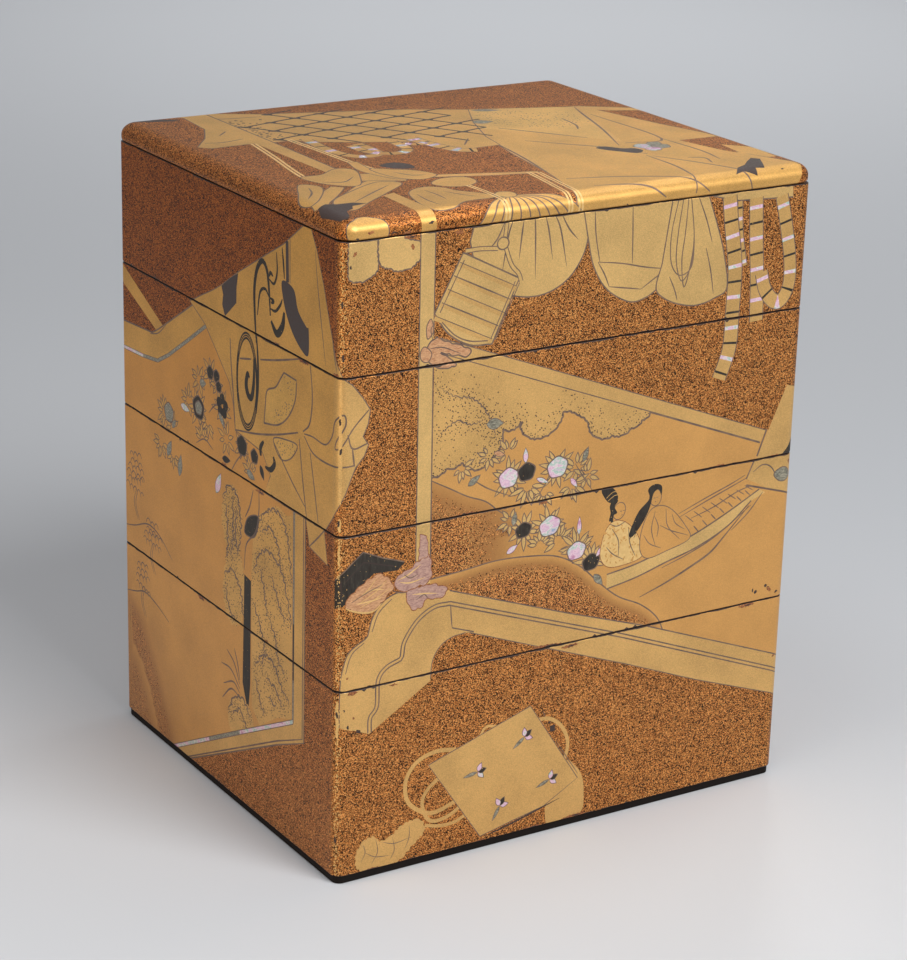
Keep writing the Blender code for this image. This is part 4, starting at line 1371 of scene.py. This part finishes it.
def drawWearAndHighlight(p):
    # The near corner carries a pale streak from top to bottom, partly a painted highlight on its rounding and
    # partly rubbed gold, and the gold is rubbed through along the joints.
    # Pale strips down the corner: painted highlight with rubbed gold.
    for top, bottom, width in (
            (216, 206, 1.6), (203, 166, 2.2), (160, 154, 1.8), (149, 140, 1.2), (82, 66, 1.8)):
        p.line(pale, crinkled(straight((-0.9, top), (-0.7, bottom), 30), 4.0, 0.5), width, 0.4)
    # Pale dots along the corner: painted highlight with rubbed gold.
    for top, bottom in ((270, 220), (152, 88), (84, 4)):
        column = straight((-0.6, top), (-0.6, bottom), 2)
        stipple(p, [(-3.4, bottom), (2.6, bottom), (2.6, top), (-3.4, top)], column, 0.85,
            1.3, 0.36, pale, 0.85)
    for s, z, length in (
            (-4, 218.6, 5), (-30, 217, 9), (-52, 218.4, 6), (-66, 151, 8), (-98, 153, 5), (-12, 85.4, 4),
            (-120, 85, 6), (-60, 86.8, 4), (101, 86.9, 16), (112, 84.6, 9), (7, 85, 5), (26, 84.8, 4),
            (60, 152.9, 6), (96, 151.6, 4), (150, 218, 5), (186, 152.8, 6), (214, 152.6, 8), (205, 85.2, 9),
            (30, 271, 6), (52, 270.4, 4), (70, 3.6, 6), (96, 4, 9), (18, 3.8, 7),
            (118, 4.4, 12), (140, 3.4, 6)):
        patch = ellipse(s, z, length / 2, rng.uniform(0.5, 0.95), rng.uniform(-4, 4), 22)
        p.fill(rubbed, crinkled(patch, 2.2, 0.5, closed=True))
        if length > 5:
            p.fill(brownBlack, ellipse(s + length * 0.1, z, length / 5, 0.32, rng.uniform(-5, 5), 12))
    for s, z, size in (
            (5, 70.4, 1.0), (7.6, 74, 0.8), (10, 67.6, 1.3), (3, 78, 0.7), (4.4, 92, 0.8), (217, 90.6, 1.5),
            (221, 88.8, 1.0), (224, 149, 1.2), (222, 58, 1.0), (44, 229, 0.8), (3.4, 262, 0.9),
            (5.4, 267, 1.2), (31, 267, 1.3)):
        patch = crinkled(ellipse(s, z, size, size * 0.6, rng.uniform(0, 180), 16), 1.6, 0.35, closed=True)
        p.fill(rubbed if rng.random() < 0.6 else brownBlack, patch)
    for s, z in (
            (-1, 200), (-0.4, 188), (-1.2, 158), (0.2, 226), (-0.6, 247), (-0.8, 76), (0.3, 132), (-1, 20)):
        p.fill(brownBlack, crinkled(ellipse(s, z, 0.7, 1.6, rng.uniform(-20, 20), 12), 1.8, 0.3, closed=True))


walls, cover = Picture(), Picture()
drawGarden(walls)
drawScreen(walls)
drawFrontTop(walls)
drawBoat(walls)
drawBracket(walls)
drawTablet(walls)
drawRobe(walls)
drawBack(walls)
drawWearAndHighlight(walls)
drawLid(cover)
say("drew %d shapes round the walls and %d on the lid" % (len(walls.shapes), len(cover.shapes)))


# Building the pieces

clipMargin = 0.05  # how far the picture ends inside the edge of its chart, in millimetres


def clipped(outline, bounds):
    # Keeps the part of an outline inside (low s, high s, low z, high z).
    for axis, level, above in (
            (0, bounds[0], True), (0, bounds[1], False), (1, bounds[2], True), (1, bounds[3], False)):
        if len(outline) > 2:
            outline = clipLevel(outline, axis, level, above)
    return outline


def mistOf(mists, chart):
    # How much of the sprinkled ground shows through: from start at the line to end at reach from it.
    amount = np.zeros(len(chart))
    for outline, line, reach, start, end in mists:
        under = np.flatnonzero(within(outline, chart))
        if len(under):
            share = np.clip(distanceTo(line, chart[under]) / reach, 0, 1)
            share = share * share * (3 - 2 * share)
            amount[under] = np.maximum(amount[under], start + (end - start) * share)
    return amount


def loosePoints(mists, bounds):
    # A grid of extra points under each mist, so that it can change from point to point.
    found, step = [np.zeros((0, 2))], tierForm["mistStep"]
    for outline, line, reach, start, end in mists:
        low = np.maximum(outline.min(0), [bounds[0], bounds[2]])
        high = np.minimum(outline.max(0), [bounds[1], bounds[3]])
        x, y = np.meshgrid(np.arange(low[0] + step / 2, high[0], step),
            np.arange(low[1] + step / 2, high[1], step))
        grid = np.column_stack([x.ravel(), y.ravel()])
        found.append(grid[within(outline, grid)] if len(grid) else grid)
    return np.vstack(found)


# Width, waver, step and nicks shape the rim bands, which are partly painted shade in the joints; rubReach and
# corners set the reach of the wear at rims and corners.
seamShadeAndWear = {
    "width": 0.78, "waver": 0.35, "step": 1.1, "nickShare": 0.012, "nickDepth": (0.2, 0.9),
    "rubReach": 1.6, "corners": 0.75,
}


def rimShadeAndWear(bounds):
    # A brown-black band along both rims, its inner edge wavering, with a few deeper nicks: partly painted
    # shade in the joint between tiers, partly worn lacquer.
    form = seamShadeAndWear
    start, end, low, high = bounds
    s = np.arange(start, end, form["step"])
    found = []
    for level, way in ((low, 1), (high, -1)):
        waver = np.convolve(rng.uniform(-1, 1, len(s)), np.ones(5) / 5, "same")
        nicks = (rng.random(len(s)) < form["nickShare"]) * rng.uniform(*form["nickDepth"], len(s))
        depth = form["width"] * (1 + form["waver"] * waver) + nicks
        edge = np.column_stack([s, level + way * depth])
        found.append((brownBlack, np.vstack([edge, [(end, level + way * depth[0]), (end, level), (start, level)]])))
    return found


def laidRound(picture, bounds):
    # The side chart meets itself at the back, so the picture is also laid a whole turn to either side.
    shapes, mists = [], []
    for shift in (-perimeter, 0, perimeter):
        for kind, outline in picture.shapes:
            outline = clipped(outline + [shift, 0], bounds)
            if len(outline) > 2:
                shapes.append((kind, outline))
        for outline, line, reach, start, end in picture.mists:
            outline = clipped(outline + [shift, 0], bounds)
            if len(outline) > 2:
                mists.append((outline, line + [shift, 0], reach, start, end))
    return shapes, mists


shadeSide = {"start": 1.5, "past": 3.0, "fade": 5.0, "least": 0.1, "height": 220.0}


def shadeTintOf(chart):
    # How much of the painted shade tint each point takes: only on the left side, and more towards the top.
    s, z = chart[:, 0], chart[:, 1]
    start, past, fade = (shadeSide[name] for name in ("start", "past", "fade"))
    across = np.clip((-start - s) / fade, 0, 1) * np.clip((s + depth + past) / fade, 0, 1)
    return across * np.clip(shadeSide["least"] + z / shadeSide["height"], 0, 1)


def tierSkin(form, zLow, zHigh, picture, stations):
    # The outside of the walls, with the picture cut into it. Wear is greatest at the rims and the corners.
    rim, lap, rub = form["rim"], form["lap"], seamShadeAndWear["rubReach"]
    chartEnd = chartStart + perimeter
    bounds = (chartStart, chartEnd, zLow - lap + clipMargin, zHigh + lap - clipMargin)
    shapes, mists = laidRound(picture, bounds)
    # Rim bands: painted shade in the joints between tiers, with worn lacquer and nicks.
    shapes += rimShadeAndWear(bounds)
    levels = [zLow - lap, zLow, zLow + rim / 2, zLow + rim, zLow + rub,
              zHigh - rub, zHigh - rim, zHigh - rim / 2, zHigh, zHigh + lap]
    loops = [(np.column_stack([stations, np.full(len(stations), z)]), False) for z in levels]
    upright = [chartStart, chartEnd]
    reach, margin = form["corner"], form["cornerMargin"]
    for corner in cornersAt:
        upright += list(np.linspace(corner - reach, corner + reach, form["cornerSteps"] + 1))
        upright += [corner - reach - margin, corner + reach + margin]
    loops += [(np.column_stack([np.full(len(levels), s), levels]), False) for s in upright]
    flat, faces, kinds = inlay(shapes, loops, loosePoints(mists, bounds))

    points, normals = wallSurface(flat, zLow, zHigh)
    toCorner = np.abs(flat[:, :1] - cornersAt).min(1)
    toRim = np.maximum(np.minimum(zHigh - flat[:, 1], flat[:, 1] - zLow), 0)
    wear = np.maximum(1 - toRim / rub, seamShadeAndWear["corners"] - toCorner / (reach + margin))
    return points, normals, faces, kinds, np.clip(wear, 0, 1), mistOf(mists, flat), shadeTintOf(flat)


def plainPart(profile, ringForm, ring, hub, kind):
    # A lofted part in one lacquer, with no wear, mist or painted shade tint.
    placed, facing, faces = loftRings(profile, ringForm, ring, hub)
    zero = np.zeros(len(placed))
    return placed, facing, faces, np.full(len(faces), kind), zero, zero, zero


def buildTier(name, picture):
    form = tierForm
    low, high = boxOf(name)
    zBase, zHigh = low[2], high[2]
    onFoot = name == "bottom_tier"
    zLow = zBase + (form["footHeight"] if onFoot else form["drop"])
    step = form["footInset"] if onFoot else form["wall"] + form["play"]
    stations = stationsOf(form)
    parts = [tierSkin(form, zLow, zHigh, picture, stations)]

    wall, innerCorner, edge = form["wall"], form["innerCorner"], -(form["rim"] + form["lap"])
    outs = [-wall, -(wall - form["lip"]), edge, 0]
    radii = [innerCorner, innerCorner + form["lip"], form["corner"] + edge, form["corner"]]

    def ringForm(out):
        radius = np.interp(out, outs, radii) if out > -wall else innerCorner + out + wall
        return halfX + out, halfY + out, max(radius, 0.2)

    zFloor = zBase + form["floor"]
    mouth = profileOf([(edge, zHigh), (-wall, zHigh), (-wall, zFloor), (-wall - form["floorRing"], zFloor)],
                      [form["lip"], form["fillet"]])
    under = profileOf([(-step - form["baseRing"], zBase), (-step, zBase), (-step, zLow), (edge, zLow)],
                      [form["baseFillet"], form["seatFillet"]])
    for profile, hub, kind in ((mouth, -1, inside), (under, 0, foot)):
        parts.append(plainPart(profile, ringForm, sideOf(stations), hub, kind))
    return finished("lacquered_" + name, name, parts)


lidForm = {
    "corner": 7.0, "shoulder": (7.0, 5.4), "lower": 1.2, "crown": 0.7, "rollSteps": 14, "lap": 0.4,
    "drop": 4.0, "flange": 4.0, "board": 4.0, "hollowFillet": 0.8, "flangeFillet": 0.5, "seatFillet": 0.3,
    "wearAt": 0.86, "wearReach": 0.16, "wearMost": 0.75, "warm": 0.5, "crownStep": 4.0,
}


def lidRoll(zTop, zSeat):
    # The rounded edge as (outward, up) from the inner rectangle: an elliptical shoulder, a short upright, the
    # lower rounding and a level turn inwards, with the distance run along it.
    form = lidForm
    reach, fall = form["shoulder"]
    lower, lap = form["lower"], form["lap"]
    a = np.linspace(0, np.pi / 2, 40)
    edge = zTop - form["crown"]
    path = [np.column_stack([reach * np.sin(a), edge - fall * (1 - np.cos(a))]),
            np.column_stack([reach - lower * (1 - np.cos(a)), zSeat + lower - lower * np.sin(a)]),
            [[reach - lower - lap, zSeat]]]
    facing = [np.column_stack([np.sin(a) / reach, np.cos(a) / fall]),
        np.column_stack([np.cos(a), -np.sin(a)]), [[0.0, -1.0]]]
    path, facing = np.vstack(path), np.vstack(facing)
    facing /= np.linalg.norm(facing, axis=1, keepdims=True)
    run = np.concatenate([[0], np.cumsum(np.linalg.norm(np.diff(path, axis=0), axis=1))])
    return path, facing, run


def lidSurface(chart, inner, zTop, roll):
    # Plan to lid: a faint crown over the inner rectangle, and beyond it the roll, carried along its normal.
    path, facing, run = roll
    base = np.clip(chart, -inner, inner)
    off = chart - base
    out = np.linalg.norm(off, axis=1)
    way = off / np.maximum(out, 1e-9)[:, None]
    rolled = out > 1e-6
    u = base / inner
    crown = lidForm["crown"]
    height = zTop - crown * (1 - (1 - u[:, 0] ** 2) * (1 - u[:, 1] ** 2))
    slope = -2 * crown * np.column_stack([u[:, 0] * (1 - u[:, 1] ** 2), u[:, 1] * (1 - u[:, 0] ** 2)]) / inner
    reach = np.interp(out, run, path[:, 0])
    points = np.column_stack([base + way * reach[:, None],
        np.where(rolled, np.interp(out, run, path[:, 1]), height)])
    side, up = np.interp(out, run, facing[:, 0]), np.interp(out, run, facing[:, 1])
    level = np.column_stack([-slope, np.ones(len(out))])
    outward = np.column_stack([way * side[:, None], up])
    normals = np.where(rolled[:, None], outward, level)
    return points, normals / np.linalg.norm(normals, axis=1, keepdims=True)


def buildLid(picture):
    # The lid chart has its origin at the middle of the lid.
    form = lidForm
    low, high = boxOf("lid")
    zTop, zSeat = high[2], low[2] + form["drop"]
    half = (high[:2] - low[:2]) / 2
    inner = half - form["corner"]
    roll = lidRoll(zTop, zSeat)
    ring = sideOf(stationsOf(tierForm))
    levels = np.linspace(0, roll[2][-1], form["rollSteps"] + 1)
    loops = []
    for out in levels:
        loop, _ = ringPoint(*ring, inner[0] + out, inner[1] + out, out)
        keep = np.append(np.linalg.norm(np.diff(loop, axis=0), axis=1) > 1e-6, False)
        loops.append((loop[keep], True))
    grid = [np.linspace(-size, size, int(size / form["crownStep"]) + 1)[1:-1] for size in inner]
    x, y = np.meshgrid(*grid)
    loose = np.column_stack([x.ravel(), y.ravel()])
    edge = loops[-1][0]
    limit = np.abs(edge).max(0) - clipMargin
    shapes = []
    for kind, outline in picture.shapes:
        outline = clipped(outline, (-limit[0], limit[0], -limit[1], limit[1]))
        if len(outline) > 2:
            shapes.append((kind, outline))
    flat, faces, kinds = inlay(shapes, loops, loose)
    middle = flat[faces].mean(1)
    # Painted shade: the outermost ring of the rolled edge, where the lid sits on the top tier, is laid in
    # brown-black.
    kinds[np.linalg.norm(middle - np.clip(middle, -inner, inner), axis=1) > levels[-2]] = brownBlack
    points, normals = lidSurface(flat, inner, zTop, roll)
    out = np.linalg.norm(flat - np.clip(flat, -inner, inner), axis=1) / roll[2][-1]
    wear = np.clip(1 - np.abs(out - form["wearAt"]) / form["wearReach"], 0, 1) * form["wearMost"]
    # The whole lid takes half of the painted shade tint.
    skin = (points, normals, faces, kinds, wear, np.zeros(len(wear)), np.full(len(wear), form["warm"]))

    flange = form["corner"]
    inFlange = flange + form["flange"]
    start = -form["lower"] - form["lap"]
    radii = ([-inFlange, -flange, start, 0], [1.5, 3.5, form["corner"] + start, form["corner"]])

    def ringForm(out):
        return half[0] + out, half[1] + out, np.interp(out, *radii)

    zHollow, zEnd = zTop - form["board"], low[2]
    under = profileOf([(-inFlange - 2, zHollow), (-inFlange, zHollow), (-inFlange, zEnd), (-flange, zEnd),
                       (-flange, zSeat), (start, zSeat)],
                      [form[name + "Fillet"] for name in ("hollow", "flange", "flange", "seat")])
    return finished("lacquered_lid", "lid", [skin, plainPart(under, ringForm, ring, 0, inside)])


def finished(name, node, parts):
    # Welds a piece's parts, gives it the lacquers that it shows, and sets it in its node's place.
    starts = np.cumsum([0] + [len(part[0]) for part in parts[:-1]])
    faces = np.vstack([part[2] + start for part, start in zip(parts, starts)])
    points, normals, kinds, wear, mist, warm = (np.concatenate([part[k] for part in parts])
        for k in (0, 1, 3, 4, 5, 6))
    shown, kinds = np.unique(kinds, return_inverse=True)
    piece = meshOf(name, points, normals, faces, kinds.reshape(-1), [looks[k] for k in shown],
                   {"wear": wear, "mist": mist, "warm": warm})
    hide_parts(node)
    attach(piece, "root")
    say("%s: %d faces" % (name, len(piece.data.polygons)))
    return piece


for name in tierForm["names"]:
    buildTier(name, walls)
buildLid(cover)


# Camera, light and floor

shot = {
    "position": (-0.62377, -0.99163, 0.54258), "azimuth": 32.2387, "down": 19.5175, "roll": 1.5257,
    "lens": 105.105, "sensor": 36.0,
}
studio = {"floorTone": tone(198, 200, 203), "floorSize": 6.0,
    "lamps": {"key": {"at": (0.3, -1.35, 1.5), "aim": (0.0, 0.0, 0.2), "size": 1.1, "power": 32.0},
    "top": {"at": (0.75, 0.1, 1.6), "aim": (0.0, 0.0, 0.25), "size": 0.5, "power": 2.4},
    "side": {"at": (-1.9, -0.5, 0.24), "aim": (0.0, 0.0, 0.24), "size": 0.4, "power": 6.5,
    "tint": (1.0, 0.66, 0.3)}, "back": {"at": (1.15, 1.6, 1.3), "aim": (1.15, 1.6, 0.0), "size": 1.6,
    "power": 5.0, "spread": 100.0}, "lid": {"at": (0.55, 0.55, 1.25), "aim": (0.08, -0.05, 0.28),
    "size": 0.3, "power": 0.045, "spread": 14.0},
    "left": {"at": (-0.62, -0.2, 1.4), "aim": (-0.62, -0.2, 0.0), "size": 0.8, "power": 1.8,
    "spread": 80.0},}, "sky": tone(204, 206, 210), "skyStrength": 0.5,}


def setCamera():
    azimuth, down, roll = (math.radians(shot[name]) for name in ("azimuth", "down", "roll"))
    ahead = Vector((math.sin(azimuth) * math.cos(down), math.cos(azimuth) * math.cos(down), -math.sin(down)))
    level = ahead.cross(Vector((0, 0, 1))).normalized()
    upright = level.cross(ahead)
    right = level * math.cos(roll) + upright * math.sin(roll)
    up = right.cross(ahead)
    data = bpy.data.cameras.new("camera")
    data.lens, data.sensor_width = shot["lens"], shot["sensor"]
    camera = bpy.data.objects.new("camera", data)
    turn = Matrix((right, up, -ahead)).transposed().to_4x4()
    camera.matrix_world = Matrix.Translation(shot["position"]) @ turn
    bpy.context.scene.collection.objects.link(camera)
    bpy.context.scene.camera = camera


def addLamp(name, form):
    data = bpy.data.lights.new(name, "AREA")
    data.shape, data.size, data.energy = "DISK", form["size"], form["power"]
    data.color = form.get("tint", (1.0, 1.0, 1.0))
    data.spread = math.radians(form.get("spread", 180.0))
    lamp = bpy.data.objects.new(name, data)
    aim = Vector(form["aim"]) - Vector(form["at"])
    lamp.location = form["at"]
    lamp.rotation_euler = aim.to_track_quat("-Z", "Y").to_euler()
    bpy.context.scene.collection.objects.link(lamp)


def makeStudio():
    size = studio["floorSize"]
    mesh = bpy.data.meshes.new("floor")
    mesh.from_pydata([(-size, -size, 0), (size, -size, 0), (size, size, 0), (-size, size, 0)], [],
        [(0, 1, 2, 3)])
    floor = bpy.data.objects.new("floor", mesh)
    bpy.context.scene.collection.objects.link(floor)
    look = bpy.data.materials.new("pale_floor")
    look.use_nodes = True
    shader = look.node_tree.nodes["Principled BSDF"]
    shader.inputs["Base Color"].default_value = studio["floorTone"]
    shader.inputs["Roughness"].default_value = 0.9
    shader.inputs["Specular IOR Level"].default_value = 0.1
    mesh.materials.append(look)
    world = bpy.data.worlds.new("studio")
    world.use_nodes = True
    sky = world.node_tree.nodes["Background"]
    sky.inputs["Color"].default_value = studio["sky"]
    sky.inputs["Strength"].default_value = studio["skyStrength"]
    bpy.context.scene.world = world
    for name, form in studio["lamps"].items():
        addLamp(name, form)


setCamera()
makeStudio()
bpy.context.scene.view_settings.view_transform = "Standard"
say("camera and studio are set")
